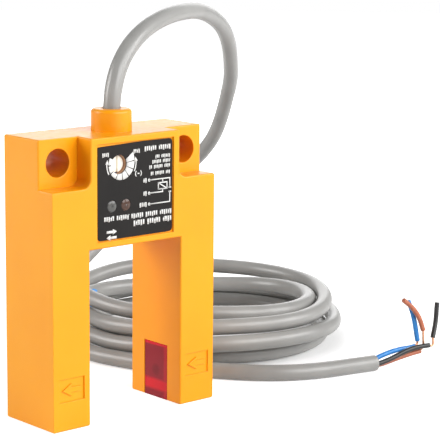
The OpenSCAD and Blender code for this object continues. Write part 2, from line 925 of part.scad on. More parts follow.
module coil_tie() {
    color(core_blue_colour)
        translate([coil_x, coil_y, tie_z])
            rotate([0, 0, tie_turn])
                translate([tie_from_centre, 0, 0])
                    rotate([90, 0, 0])
                        rotate_extrude()
                            translate([tie_r, 0])
                                circle(d = tie_d);
}

module core_blue() {
    color(core_blue_colour)
        tube(core_route_blue, core_d, core_sides);
}

module core_black() {
    color(core_black_colour)
        tube(core_route_black, core_d, core_sides);
}

module core_brown() {
    color(core_brown_colour)
        tube(core_route_brown, core_d, core_sides);
}

module copper_blue() {
    color(copper)
        tube(copper_route_blue, copper_d, core_sides);
}

module copper_black() {
    color(copper)
        tube(copper_route_black, copper_d, core_sides);
}

module copper_brown() {
    color(copper)
        tube(copper_route_brown, copper_d, core_sides);
}

module slug_blue() {
    color(core_blue_colour)
        tube(slug_route_blue, core_d, core_sides);
}

module slug_black() {
    color(core_black_colour)
        tube(slug_route_black, core_d, core_sides);
}

module slug_brown() {
    color(core_brown_colour)
        tube(slug_route_brown, core_d, core_sides);
}

housing();
rear_cover();
label_plate();
emitter_window();
receiver_window();
trimmer_body();
trimmer_rotor();
power_led();
output_led();
main_board();
board_screws();
control_ic();
output_transistor();
protection_diode();
filter_capacitor();
chip_resistors();
emitter_board();
emitter_diode();
emitter_wires();
receiver_board();
receiver_diode();
receiver_wires();
cable_ferrule();
inner_core_blue();
inner_core_black();
inner_core_brown();
cable_riser();
cable_coil();
cable_tail();
coil_tie();
core_blue();
core_black();
core_brown();
copper_blue();
copper_black();
copper_brown();
slug_blue();
slug_black();
slug_brown();
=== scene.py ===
"""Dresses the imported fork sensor: moulded fork housing, printed film, red windows and coiled lead.

Lengths are millimetres unless a name or docstring says otherwise; MM turns them into the frame's
metres when a mesh or a texture is made. Colours are written as they look, in sRGB from 0 to 1.
"""

from __future__ import annotations

import json
import logging
import math
from dataclasses import dataclass, field
from enum import Enum
from typing import Any, Optional, Sequence

import bmesh
import bpy
import numpy as np
from mathutils import Matrix

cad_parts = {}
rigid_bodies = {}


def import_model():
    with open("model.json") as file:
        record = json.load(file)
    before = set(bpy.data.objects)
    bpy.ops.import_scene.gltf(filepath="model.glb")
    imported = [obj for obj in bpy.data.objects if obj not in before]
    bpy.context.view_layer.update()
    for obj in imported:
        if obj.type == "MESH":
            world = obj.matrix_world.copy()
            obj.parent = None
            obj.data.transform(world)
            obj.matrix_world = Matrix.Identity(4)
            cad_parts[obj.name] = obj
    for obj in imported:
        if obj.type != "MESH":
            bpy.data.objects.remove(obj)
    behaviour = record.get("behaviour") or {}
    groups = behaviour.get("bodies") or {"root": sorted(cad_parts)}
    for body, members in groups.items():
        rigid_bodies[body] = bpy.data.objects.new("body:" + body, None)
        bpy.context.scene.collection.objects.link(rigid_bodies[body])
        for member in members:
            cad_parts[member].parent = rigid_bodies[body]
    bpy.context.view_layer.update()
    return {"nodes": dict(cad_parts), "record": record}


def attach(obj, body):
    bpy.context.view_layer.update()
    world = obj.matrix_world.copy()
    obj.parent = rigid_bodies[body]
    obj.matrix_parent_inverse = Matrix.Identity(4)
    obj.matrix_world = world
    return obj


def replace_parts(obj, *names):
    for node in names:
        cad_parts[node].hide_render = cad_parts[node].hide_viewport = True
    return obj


MM = 0.001
LAY = "lay"
UP = np.array([0.0, 0.0, 1.0])
BACKWARDS = np.array([0.0, 1.0, 0.0])
WHITE = (1, 1, 1, 1)
SAME_POINT_M = 2e-6
SAME_PLANE = math.radians(0.6)
RIM_STEPS = 4
LEAST_WEIGHT = 1e-9
OWN_SHARE = 1e-12
WAVE_AT_SCALE_ONE = 0.314

Array = np.ndarray
Colour = tuple[float, float, float]
Route = Sequence[Sequence[float]]
Socket = Any
Piece = bpy.types.Object

log = logging.getLogger("fork_sensor")


class Body(Enum):
    """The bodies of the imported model."""

    SENSOR = "sensor"
    TRIMMER = "trimmer"


class Slot(Enum):
    """The record's material slots."""

    HOUSING = "housing_yellow"
    FILM = "label_film"
    WINDOW = "red_window"
    TRIMMER = "trimmer_blue"
    ROTOR = "rotor_white"
    LAMP_CLEAR = "lamp_clear"
    LAMP_BROWN = "lamp_brown"
    BOARD = "board_green"
    CHIP = "chip_black"
    STEEL = "bright_steel"
    DIODE = "diode_blue"
    WIRE_RED = "wire_red"
    WIRE_YELLOW = "wire_yellow"
    JACKET = "jacket_grey"
    TIE = "tie_blue"
    CORE_BLUE = "core_blue"
    CORE_BLACK = "core_black"
    CORE_BROWN = "core_brown"
    COPPER = "bare_copper"


# Shapes as whole arrays


def unit(vectors: Array) -> Array:
    """Each row divided by its own length."""
    return vectors / np.linalg.norm(vectors, axis=-1, keepdims=True)


def reach_of(line: Array) -> Array:
    """Distance along a line at each of its points."""
    return np.concatenate([[0.0], np.cumsum(np.linalg.norm(np.diff(line, axis=0), axis=1))])


def smooth_line(knots: Route, steps: int) -> Array:
    """Smooth line through knots.

    Each span is the cubic whose slope at a knot is half the step between the knot's neighbours.

    Args:
        knots: the points to pass, one row each.
        steps: samples in each span.

    Returns:
        The samples, one row each, ending at the last knot.
    """
    points = np.array(knots, float)
    held = np.vstack([2 * points[0] - points[1], points, 2 * points[-1] - points[-2]])
    t = np.linspace(0, 1, steps, endpoint=False)[None, :, None]
    before, start, end, after = (held[k : len(held) - 3 + k][:, None, :] for k in range(4))
    spans = 0.5 * (
        2 * start
        + (end - before) * t
        + (2 * before - 5 * start + 4 * end - after) * t**2
        + (3 * start - before - 3 * end + after) * t**3
    )
    return np.vstack([spans.reshape(-1, points.shape[1]), points[-1:]])


def even_line(line: Array, pitch: float) -> Array:
    """The same line with its points one pitch apart.

    Args:
        line: points along the line.
        pitch: wanted distance between points.

    Returns:
        Points at equal distances, both ends kept.
    """
    reach = reach_of(line)
    stops = np.linspace(0, reach[-1], max(int(round(reach[-1] / pitch)), 3) + 1)
    return np.stack([np.interp(stops, reach, line[:, k]) for k in range(line.shape[1])], axis=1)


def eased_line(line: Array, half: int) -> Array:
    """A line with its kinks rounded off.

    Each point becomes the mean of its neighbours under a raised cosine; the line is carried on
    past its ends by turning it about them, so the ends stay.

    Args:
        line: evenly spaced points.
        half: neighbours that count on each side.

    Returns:
        The rounded line.
    """
    held = np.vstack([2 * line[0] - line[half:0:-1], line, 2 * line[-1] - line[-2 : -half - 2 : -1]])
    weights = np.hanning(2 * half + 3)[1:-1]
    weights = weights / weights.sum()
    return np.stack([np.convolve(held[:, k], weights, "valid") for k in range(3)], axis=1)


def lattice(rows: int, columns: int, wrap: bool) -> Array:
    """Corners of the quads of a grid that is stored row by row.

    Args:
        rows: points along the first parameter.
        columns: points along the second parameter.
        wrap: whether the last column joins the first.

    Returns:
        Four point numbers for each quad, turning from the second parameter to the first.
    """
    here = np.arange(columns if wrap else columns - 1)
    following = (here + 1) % columns
    first = np.arange(rows - 1)[:, None] * columns
    quads = [first + here, first + following, first + columns + following, first + columns + here]
    return np.stack(quads, axis=-1).reshape(-1, 4)


def add_object(name: str, data: Any) -> Piece:
    """Puts a new object into the scene.

    Args:
        name: the object's name.
        data: its mesh, lamp or camera.

    Returns:
        The object, at the origin.
    """
    made = bpy.data.objects.new(name, data)
    bpy.context.scene.collection.objects.link(made)
    return made


@dataclass
class Surface:
    """Points and faces of a mesh, with where each point lies round and along a cord."""

    points: Array
    faces: list[list[int]]
    lay: Optional[Array] = None

    @staticmethod
    def joined(parts: Sequence["Surface"]) -> "Surface":
        """Several surfaces as one.

        Args:
            parts: the surfaces.

        Returns:
            One surface, in which each part keeps its own points.
        """
        starts = np.concatenate([[0], np.cumsum([len(part.points) for part in parts])])
        faces = [
            [corner + int(start) for corner in face]
            for part, start in zip(parts, starts)
            for face in part.faces
        ]
        lays = [part.lay for part in parts if part.lay is not None]
        lay = np.vstack(lays) if len(lays) == len(parts) else None
        return Surface(np.vstack([part.points for part in parts]), faces, lay)

    def piece(self, name: str, material: bpy.types.Material) -> Piece:
        """Makes the mesh, dresses it and lets it ride on the sensor.

        Args:
            name: the piece's name.
            material: its finish.

        Returns:
            The new object, at the origin.
        """
        mesh = bpy.data.meshes.new(name)
        mesh.from_pydata((self.points * MM).tolist(), [], self.faces)
        mesh.materials.append(material)
        mesh.shade_smooth()
        if self.lay is not None:
            layer = mesh.attributes.new(LAY, "FLOAT_VECTOR", "POINT")
            layer.data.foreach_set("vector", (self.lay * MM).astype(np.float32).ravel())
        mesh.update()
        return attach(add_object(name, mesh), Body.SENSOR.value)

    def stand_in(self, name: str, slot: Slot, *nodes: str) -> Piece:
        """Makes a piece that takes its finish from a slot and stands for CAD nodes.

        Args:
            name: the piece's name.
            slot: the record's slot.
            nodes: the nodes that it stands for.

        Returns:
            The new object, at the origin.
        """
        piece = self.piece(name, FINISHES[slot].material())
        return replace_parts(piece, *nodes)


def side_vectors(run: Array, guide: Array) -> tuple[Array, Array]:
    """The guide less its part along a line's run, as a unit vector, and the one square to both."""
    across = unit(guide - (guide * run).sum(-1, keepdims=True) * run)
    return across, np.cross(run, across)


def rings(centre: Array, run: Array, guide: Array, size: Array, sides: int) -> tuple[Array, Array]:
    """Rings of points square to a line.

    A ring point is the line's point plus the ring's size times (cosine of the turn along one side
    vector, sine along the other).

    Args:
        centre: the line's points.
        run: its direction at each point.
        guide: what the first side vector leans to at each point.
        size: the ring's radius at each point.
        sides: points in a ring.

    Returns:
        The points, ring after ring, and where each lies round and along the line.
    """
    across, along = side_vectors(run, guide)
    turn = np.arange(sides) * 2 * math.pi / sides
    flat = size[:, None] * np.cos(turn)
    tall = size[:, None] * np.sin(turn)
    points = centre[:, None] + flat[..., None] * across[:, None] + tall[..., None] * along[:, None]
    stretch = np.broadcast_to(reach_of(centre)[:, None], flat.shape)
    return points.reshape(-1, 3), np.stack([flat, tall, stretch], axis=-1).reshape(-1, 3)


def tube(line: Array, radius: float, sides: int, guide: Array, rim: float) -> Surface:
    """Round tube round a line, with closed ends.

    Near both ends the rings' radius is drawn in on a quarter circle of the rim's radius, and a
    point on the line closes the end.

    Args:
        line: centre line, evenly spaced.
        radius: the tube's radius.
        sides: points in a ring.
        guide: a vector, or one for each point, that the first side vector leans to.
        rim: rounding of the cut ends.

    Returns:
        The closed tube.
    """
    run = unit(np.gradient(line, axis=0))
    bend = np.linspace(0, math.pi / 2, RIM_STEPS)
    inset = (rim * (1 - np.cos(bend)))[:, None]
    shrink = radius - rim + rim * np.sin(bend)
    centre = np.vstack([line[0] + run[0] * inset, line[1:-1], line[-1] - run[-1] * inset[::-1]])
    size = np.r_[shrink, np.full(len(line) - 2, radius), shrink[::-1]]
    end = len(line) - 1
    pick = np.r_[np.zeros(RIM_STEPS, int), np.arange(1, end), np.full(RIM_STEPS, end)]
    points, lay = rings(centre, run[pick], np.broadcast_to(guide, line.shape)[pick], size, sides)
    here = np.arange(sides)
    following = np.roll(here, -1)
    count = len(points)
    last = count - sides
    start_fan = np.stack([np.full(sides, count), following, here], axis=-1)
    end_fan = np.stack([np.full(sides, count + 1), last + here, last + following], axis=-1)
    faces = lattice(len(centre), sides, True).tolist() + start_fan.tolist() + end_fan.tolist()
    end_lay = np.array([[0, 0, 0], [0, 0, lay[-1, 2]]])
    return Surface(np.vstack([points, line[:1], line[-1:]]), faces, np.vstack([lay, end_lay]))


def closed_tube(line: Array, radius: float, sides: int, guide: Array) -> Surface:
    """Round tube round a line that comes back to its start: rings of one size, the last joined on.

    Args:
        line: centre line, its last point one step before its first.
        radius: the tube's radius.
        sides: points in a ring.
        guide: a vector square to the whole line.

    Returns:
        The endless tube.
    """
    run = unit(np.roll(line, -1, axis=0) - np.roll(line, 1, axis=0))
    points, lay = rings(line, run, guide, np.full(len(line), radius), sides)
    quads = lattice(len(line) + 1, sides, True) % len(points)
    return Surface(points, quads.tolist(), lay)


def points_of(mesh: bpy.types.Mesh) -> Array:
    """Reads a mesh's points.

    Args:
        mesh: the mesh.

    Returns:
        One row for each point, in metres.
    """
    flat = np.empty(len(mesh.vertices) * 3)
    mesh.vertices.foreach_get("co", flat)
    return flat.reshape(-1, 3)


def keep_in_box(mesh: bpy.types.Mesh, model: bpy.types.Mesh) -> None:
    """Draws the points of a mesh that lie outside the box of its model back to the box.

    Args:
        mesh: the mesh to change.
        model: the mesh whose box it keeps to.
    """
    model_points = points_of(model)
    held = np.clip(points_of(mesh), model_points.min(axis=0), model_points.max(axis=0))
    mesh.vertices.foreach_set("co", held.ravel())
    mesh.update()


def corner_normals(mesh: bpy.types.Mesh, limit: float) -> Array:
    """Shading normal of each face corner, so that large flat faces stay flat beside small round ones.

    It is the mean of the normals of the faces that meet at the corner's point, as far as they lean
    less than the limit from the corner's own face, each counted by its area squared.

    Args:
        mesh: the mesh, its corners stored face after face.
        limit: largest lean in radians.

    Returns:
        One unit vector for each corner.
    """
    count, faces = len(mesh.loops), len(mesh.polygons)
    point = np.empty(count, np.int32)
    normal, area, sides = np.empty(faces * 3), np.empty(faces), np.empty(faces, np.int32)
    mesh.loops.foreach_get("vertex_index", point)
    mesh.polygons.foreach_get("normal", normal)
    mesh.polygons.foreach_get("area", area)
    mesh.polygons.foreach_get("loop_total", sides)
    facing = np.repeat(normal.reshape(-1, 3), sides, axis=0)
    weight = np.repeat((area / MM**2) ** 2, sides) + LEAST_WEIGHT
    order = np.argsort(point, kind="stable")
    meeting = np.bincount(point)
    first = np.cumsum(meeting) - meeting
    share = meeting[point]
    here = np.repeat(np.arange(count), share)
    step = np.arange(len(here)) - np.repeat(np.cumsum(share) - share, share)
    other = order[np.repeat(first[point], share) + step]
    close = (facing[here] * facing[other]).sum(1) > math.cos(limit)
    part = facing[other] * (weight[other] * close)[:, None]
    total = np.stack([np.bincount(here, part[:, k], count) for k in range(3)], axis=1)
    return unit(total + OWN_SHARE * facing)


# Finishes


def linear(colour: Colour) -> tuple[float, float, float, float]:
    """Turns a colour as it looks into the light that a shader works with.

    Args:
        colour: red, green and blue in sRGB.

    Returns:
        The linear values, and 1 for opaque.
    """
    seen = np.asarray(colour, float)
    light = np.where(seen <= 0.04045, seen / 12.92, ((seen + 0.055) / 1.055) ** 2.4)
    return (float(light[0]), float(light[1]), float(light[2]), 1.0)


def add_node(
    tree: bpy.types.NodeTree, kind: str, inputs: dict[Any, Any], **choices: str
) -> bpy.types.bpy_prop_collection:
    """Adds a shader node to a tree.

    Args:
        tree: the tree.
        kind: the node's type, without the words that all types start with.
        inputs: for a named or numbered input, the socket to join to it or the constant to set.
        choices: the node's own settings, such as its operation.

    Returns:
        The node's outputs.
    """
    node = tree.nodes.new("ShaderNode" + kind)
    for name, choice in choices.items():
        setattr(node, name, choice)
    for name, value in inputs.items():
        if isinstance(value, bpy.types.NodeSocket):
            tree.links.new(value, node.inputs[name])
        else:
            node.inputs[name].default_value = value
    return node.outputs


class NodeSheet:
    """A material's node tree with one Principled surface, and short ways to add to it."""

    def __init__(self, name: str) -> None:
        """Starts the material with its surface joined to its output.

        Args:
            name: the material's name.
        """
        self.material = bpy.data.materials.new(name)
        self.material.use_nodes = True
        self.tree = self.material.node_tree
        self.tree.nodes.clear()
        self.surface = self.tree.nodes.new("ShaderNodeBsdfPrincipled")
        add_node(self.tree, "OutputMaterial", {"Surface": self.surface.outputs["BSDF"]})

    def set(self, **values: Any) -> None:
        """Sets constants on the surface's own sockets; an underscore stands for a space."""
        for name, value in values.items():
            self.surface.inputs[name.replace("_", " ")].default_value = value

    def join(self, socket: Socket, name: str) -> None:
        """Joins a socket to one of the surface's inputs."""
        self.tree.links.new(socket, self.surface.inputs[name])

    def place(self) -> Socket:
        """Object coordinates, in metres."""
        return add_node(self.tree, "TexCoord", {})["Object"]

    def lay(self) -> Socket:
        """Where a point lies round and along its own cord, in metres."""
        return add_node(self.tree, "Attribute", {}, attribute_name=LAY)["Vector"]

    def stretched(self, where: Socket, scale: tuple[float, float, float]) -> Socket:
        """Coordinates scaled along each axis, which stretches a pattern the other way."""
        return add_node(self.tree, "Mapping", {"Vector": where, "Scale": scale})["Vector"]

    def noise(self, where: Socket, size: float, detail: float = 2.0) -> Socket:
        """Cloudy pattern from 0 to 1: patches of a size in millimetres, with so many finer layers."""
        inputs = {"Vector": where, "Scale": 1 / (size * MM), "Detail": detail}
        return add_node(self.tree, "TexNoise", inputs)[0]

    def bands(self, where: Socket, pitch: float, twist: float) -> Socket:
        """Straight bands along X, a pitch in millimetres apart, bent by a little noise."""
        inputs = {"Vector": where, "Scale": WAVE_AT_SCALE_ONE / (pitch * MM), "Distortion": twist}
        return add_node(self.tree, "TexWave", inputs)[1]

    def between(
        self, factor: Socket, low: float, high: float, first: float = 0.3, last: float = 0.7
    ) -> Socket:
        """A value from low to high as the factor goes from first to last."""
        inputs = {"Value": factor, "From Min": first, "From Max": last, "To Min": low, "To Max": high}
        return add_node(self.tree, "MapRange", inputs)["Result"]

    def axis(self, where: Socket, name: str) -> Socket:
        """One of the coordinates X, Y or Z, in metres."""
        return add_node(self.tree, "SeparateXYZ", {"Vector": where})[name]

    def distance(self, where: Socket, centre: Sequence[float]) -> Socket:
        """Distance in metres from a place given in millimetres."""
        inputs = {0: where, 1: tuple(value * MM for value in centre)}
        return add_node(self.tree, "VectorMath", inputs, operation="DISTANCE")["Value"]

    def sum(self, kind: str, first: Socket, second: Socket | float = 0.0) -> Socket:
        """One or two values worked out: MAXIMUM, ADD, SUBTRACT, MULTIPLY or ABSOLUTE."""
        return add_node(self.tree, "Math", {0: first, 1: second}, operation=kind)[0]

    def hump(self, value: Socket, middle: float, half: float) -> Socket:
        """One at a middle place in millimetres, falling to nought half a width away."""
        off = self.sum("ABSOLUTE", self.sum("SUBTRACT", value, middle * MM))
        return self.between(off, 1.0, 0.0, half * MM / 2, half * MM)

    def blend(self, factor: Socket, first: Colour | Socket, second: Colour) -> Socket:
        """A colour from first, a colour or a socket, to second as the factor goes from 0 to 1."""
        start = linear(first) if isinstance(first, tuple) else first
        return add_node(self.tree, "Mix", {0: factor, 6: start, 7: linear(second)}, data_type="RGBA")[2]

    def relief(self, height: Socket, depth: float, strength: float = 1.0) -> None:
        """Bumps the surface by a height pattern, depth in millimetres."""
        inputs = {"Height": height, "Strength": strength, "Distance": depth * MM}
        self.join(add_node(self.tree, "Bump", inputs)["Normal"], "Normal")


@dataclass(frozen=True)
class Finish:
    """A surface that drifts a little in colour, with a grain in its gloss and its relief."""

    name: str
    colour: Colour
    shade: Colour
    roughness: float
    spread: float = 0.05
    drift: float = 14.0
    grain: float = 0.35
    depth: float = 0.004
    specular: float = 0.5

    def material(self) -> bpy.types.Material:
        """Makes the material at its first use.

        Returns:
            The finish's one material.
        """
        made = bpy.data.materials.get(self.name)
        if made is None:
            sheet = NodeSheet(self.name)
            self.dress(sheet)
            made = sheet.material
        return made

    def tone(self, sheet: NodeSheet, where: Socket, gloss: Socket) -> None:
        """Lets the colour drift between two tones in soft patches, and the roughness follow a pattern.

        Args:
            sheet: the material's nodes.
            where: the patches' coordinates.
            gloss: the pattern, from 0 to 1.
        """
        drift = sheet.between(sheet.noise(where, self.drift, 3.0), 0.0, 1.0)
        sheet.join(sheet.blend(drift, self.colour, self.shade), "Base Color")
        rough = sheet.between(gloss, self.roughness - self.spread, self.roughness + self.spread)
        sheet.join(rough, "Roughness")
        sheet.set(Specular_IOR_Level=self.specular)

    def dress(self, sheet: NodeSheet) -> None:
        """Moves gloss by noise six times as coarse as the grain, and relief by the grain.

        Args:
            sheet: the material's nodes.
        """
        where = sheet.place()
        self.tone(sheet, where, sheet.noise(where, 6 * self.grain, 3.0))
        sheet.relief(sheet.noise(where, self.grain), self.depth)


@dataclass(frozen=True)
class Bore:
    """A round hole along Y: its axis, its radius, the Y where its painted shade ends and the colour of
    the shade painted inside it.
    """

    x: float
    z: float
    r: float
    end: float
    # Painted shade: the darker colour laid inside the bore, where it lies in shadow.
    painted_shade: Colour = (0.79, 0.4, 0.01)


@dataclass(frozen=True)
class Shell(Finish):
    """Moulded plastic with painted shade inside its bores, which makes them darker than its outside."""

    fade: float = 0.1
    bores: tuple[Bore, ...] = (
        Bore(-20.5, 67.75, 3.62, 11),
        Bore(20.5, 67.75, 3.62, 11),
        # The trimmer's bore gets a muted brown painted shade.
        Bore(-5.4, 66.7, 2.6, -5, (0.76, 0.59, 0.46)),
    )

    def dress(self, sheet: NodeSheet) -> None:
        """Paints a bore's shade on what is nearer to a bore's axis than its radius and before its end.

        Args:
            sheet: the material's nodes.
        """
        super().dress(sheet)
        colour = sheet.surface.inputs["Base Color"].links[0].from_socket
        flat = sheet.stretched(sheet.place(), (1, 0, 1))
        back = sheet.axis(sheet.place(), "Y")
        for bore in self.bores:
            off_axis = sheet.distance(flat, (bore.x, 0, bore.z))
            edge = ((bore.r - self.fade) * MM, (bore.r + self.fade / 2) * MM)
            within = sheet.between(off_axis, 1.0, 0.0, *edge)
            before = sheet.between(back, 1.0, 0.0, bore.end * MM, (bore.end + self.fade) * MM)
            # Painted shade: mixes the bore's shade colour in inside each bore.
            colour = sheet.blend(sheet.sum("MULTIPLY", within, before), colour, bore.painted_shade)
        sheet.join(colour, "Base Color")


@dataclass(frozen=True)
class Clear(Finish):
    """Cast or moulded clear resin with its own tint."""

    depth: float = 0.002
    transmission: float = 0.2
    ior: float = 1.49

    def dress(self, sheet: NodeSheet) -> None:
        """The drifting grain of a finish, with light passing through."""
        super().dress(sheet)
        sheet.set(Transmission_Weight=self.transmission, IOR=self.ior)


@dataclass(frozen=True)
class Cap(Clear):
    """Clear resin moulded as a shallow cap, with painted light and shade: brighter red bands along its
    top, its front and an inner ledge, and a darker lens.

    A band is its middle place and its width.
    """

    # Painted light: the red of the glowing bands.
    painted_glow: Colour = (0.82, 0.07, 0.15)
    # Painted shade: the darker red laid on the lens.
    dark: Colour = (0.36, 0.05, 0.09)
    top: tuple[float, float] = (15.1, 0.9)
    front: tuple[float, float] = (-4.6, 1.7)
    ledge: tuple[float, float] = (3.6, 1.9)
    front_glow_share: float = 0.5
    beam_z: float = 7.6
    lens: tuple[float, float] = (0.9, 2.0)
    lens_shade_share: float = 0.45

    def dress(self, sheet: NodeSheet) -> None:
        """Paints light as brighter red bands along the top, the front and an inner ledge, and paints
        shade on the lens.

        Args:
            sheet: the material's nodes.
        """
        super().dress(sheet)
        where = sheet.place()
        height = sheet.axis(where, "Z")
        front = sheet.hump(sheet.axis(where, "Y"), *self.front)
        front = sheet.between(front, 0.0, self.front_glow_share, 0.0, 1.0)
        # Painted light: the mask of the glowing bands.
        glow_bands = sheet.sum("MAXIMUM", sheet.hump(height, *self.top), front)
        glow_bands = sheet.sum("MAXIMUM", glow_bands, sheet.hump(height, *self.ledge))
        face = sheet.blend(glow_bands, self.colour, self.painted_glow)
        off_beam = sheet.distance(sheet.stretched(where, (0, 1, 1)), (0, 0, self.beam_z))
        # Painted shade on the lens, strongest on the beam's axis.
        lens = sheet.between(off_beam, self.lens_shade_share, 0.0, self.lens[0] * MM, self.lens[1] * MM)
        sheet.join(sheet.blend(lens, face, self.dark), "Base Color")


@dataclass(frozen=True)
class Lamp(Clear):
    """The clear end of a lamp: the cup inside shows as a pale ring round a dark chip."""

    spread: float = 0.03
    drift: float = 0.9
    grain: float = 0.3
    specular: float = 0.3
    cup: Colour = (0.36, 0.36, 0.35)
    cup_ring: tuple[float, float] = (0.85, 0.7)
    x: float = -7.65
    z: float = 56.1

    def dress(self, sheet: NodeSheet) -> None:
        """Lays the ring at an even distance from the lamp's axis.

        Args:
            sheet: the material's nodes.
        """
        super().dress(sheet)
        radius = sheet.distance(sheet.stretched(sheet.place(), (1, 0, 1)), (self.x, 0, self.z))
        sheet.join(sheet.blend(sheet.hump(radius, *self.cup_ring), self.colour, self.cup), "Base Color")


@dataclass(frozen=True)
class Extruded(Finish):
    """Soft plastic drawn over a cord: faint lines along it and cloudy patches."""

    spread: float = 0.06
    drift: float = 3.0
    depth: float = 0.006
    line: float = 0.5
    pull: float = 40.0

    def dress(self, sheet: NodeSheet) -> None:
        """Moves gloss and relief by noise that is pulled out along the cord, as drawing lines.

        Args:
            sheet: the material's nodes.
        """
        where = sheet.lay()
        drawn = sheet.noise(sheet.stretched(where, (1, 1, 1 / self.pull)), self.line)
        self.tone(sheet, where, drawn)
        sheet.relief(drawn, self.depth)


@dataclass(frozen=True)
class Metal(Finish):
    """Bare or plated metal."""

    spread: float = 0.1

    def dress(self, sheet: NodeSheet) -> None:
        """The drifting grain of a finish, on metal."""
        super().dress(sheet)
        sheet.set(Metallic=1.0)


@dataclass(frozen=True)
class SolderMask(Finish):
    """Green board lacquer over copper tracks, which show as paler raised bands."""

    track: Colour = (0.2, 0.52, 0.3)
    pitch: float = 1.6
    twist: float = 2.0
    edge: tuple[float, float] = (0.62, 0.72)
    rise: tuple[float, float] = (0.03, 0.6)

    def dress(self, sheet: NodeSheet) -> None:
        """Lays bands of track colour over the lacquer, bent by noise and a little proud.

        Args:
            sheet: the material's nodes.
        """
        super().dress(sheet)
        bands = sheet.between(sheet.bands(sheet.place(), self.pitch, self.twist), 0.0, 1.0, *self.edge)
        sheet.join(sheet.blend(bands, self.colour, self.track), "Base Color")
        sheet.relief(bands, *self.rise)


@dataclass(frozen=True)
class Ink(Finish):
    """Screen-printed ink with pinholes that show the film below."""

    hole: float = 0.12
    edge: tuple[float, float] = (0.62, 0.78)

    def dress(self, sheet: NodeSheet) -> None:
        """Lets the film's tone through where fine noise is above a threshold.

        Args:
            sheet: the material's nodes.
        """
        super().dress(sheet)
        holes = sheet.between(sheet.noise(sheet.place(), self.hole), 0.0, 1.0, *self.edge)
        sheet.join(sheet.blend(holes, self.colour, self.shade), "Base Color")


FINISHES: dict[Slot, Finish] = {
    Slot.HOUSING: Shell(
        "yellow_abs", (0.93, 0.61, 0.03), (0.915, 0.585, 0.025), 0.34,
        spread=0.04, drift=22.0, grain=0.3, depth=0.003, specular=0.34,
    ),
    Slot.FILM: Finish(
        "charcoal_film", (0.085, 0.072, 0.066), (0.065, 0.055, 0.05), 0.46,
        spread=0.06, drift=6.0, grain=0.14, specular=0.2,
    ),
    Slot.WINDOW: Cap(
        "red_acrylic", (0.56, 0.1, 0.16), (0.5, 0.08, 0.13), 0.16,
        spread=0.03, drift=5.0, grain=0.5, specular=0.2, transmission=0.15,
    ),
    Slot.TRIMMER: Finish("blue_trimmer", (0.16, 0.3, 0.62), (0.13, 0.26, 0.56), 0.45),
    Slot.ROTOR: Finish(
        "cream_nylon", (0.97, 0.95, 0.9), (0.93, 0.9, 0.84), 0.4,
        spread=0.06, drift=1.5, grain=0.15, depth=0.006,
    ),
    Slot.LAMP_CLEAR: Lamp("clear_lamp", (0.19, 0.19, 0.18), (0.14, 0.14, 0.14), 0.14),
    Slot.LAMP_BROWN: Lamp(
        "brown_lamp", (0.24, 0.16, 0.13), (0.2, 0.13, 0.1), 0.14, cup=(0.33, 0.24, 0.2), x=-3.15
    ),
    Slot.BOARD: SolderMask("green_lacquer", (0.08, 0.35, 0.18), (0.06, 0.3, 0.15), 0.4),
    Slot.CHIP: Finish(
        "moulded_epoxy", (0.12, 0.12, 0.12), (0.09, 0.09, 0.09), 0.6,
        spread=0.08, drift=3.0, grain=0.12, depth=0.01,
    ),
    Slot.STEEL: Metal("plated_steel", (0.78, 0.78, 0.79), (0.68, 0.68, 0.7), 0.28, drift=2.0, grain=0.2),
    Slot.DIODE: Clear(
        "blue_resin", (0.2, 0.22, 0.3), (0.15, 0.16, 0.23), 0.15,
        spread=0.04, drift=2.0, grain=0.4, transmission=0.3,
    ),
    Slot.WIRE_RED: Finish("red_wire", (0.75, 0.12, 0.1), (0.66, 0.1, 0.09), 0.4),
    Slot.WIRE_YELLOW: Finish("yellow_wire", (0.9, 0.85, 0.3), (0.84, 0.78, 0.26), 0.4),
    Slot.JACKET: Extruded(
        "grey_jacket", (0.575, 0.572, 0.562), (0.54, 0.537, 0.527), 0.33,
        spread=0.03, drift=9.0, depth=0.002,
    ),
    Slot.TIE: Extruded("blue_tie", (0.3, 0.6, 0.88), (0.24, 0.52, 0.8), 0.4, depth=0.008),
    Slot.CORE_BLUE: Extruded("blue_core", (0.16, 0.5, 0.78), (0.12, 0.44, 0.72), 0.34),
    Slot.CORE_BLACK: Extruded("black_core", (0.14, 0.14, 0.14), (0.1, 0.1, 0.1), 0.38),
    Slot.CORE_BROWN: Extruded("brown_core", (0.72, 0.42, 0.3), (0.62, 0.34, 0.23), 0.38),
    Slot.COPPER: Metal("bare_copper", (0.76, 0.5, 0.4), (0.66, 0.4, 0.3), 0.36, drift=0.8, grain=0.1),
}
PRINT = Ink(
    "white_print", (0.86, 0.86, 0.85), (0.6, 0.6, 0.6), 0.5,
    spread=0.06, drift=2.0, grain=0.15, depth=0.003,
)


# Sub-assemblies


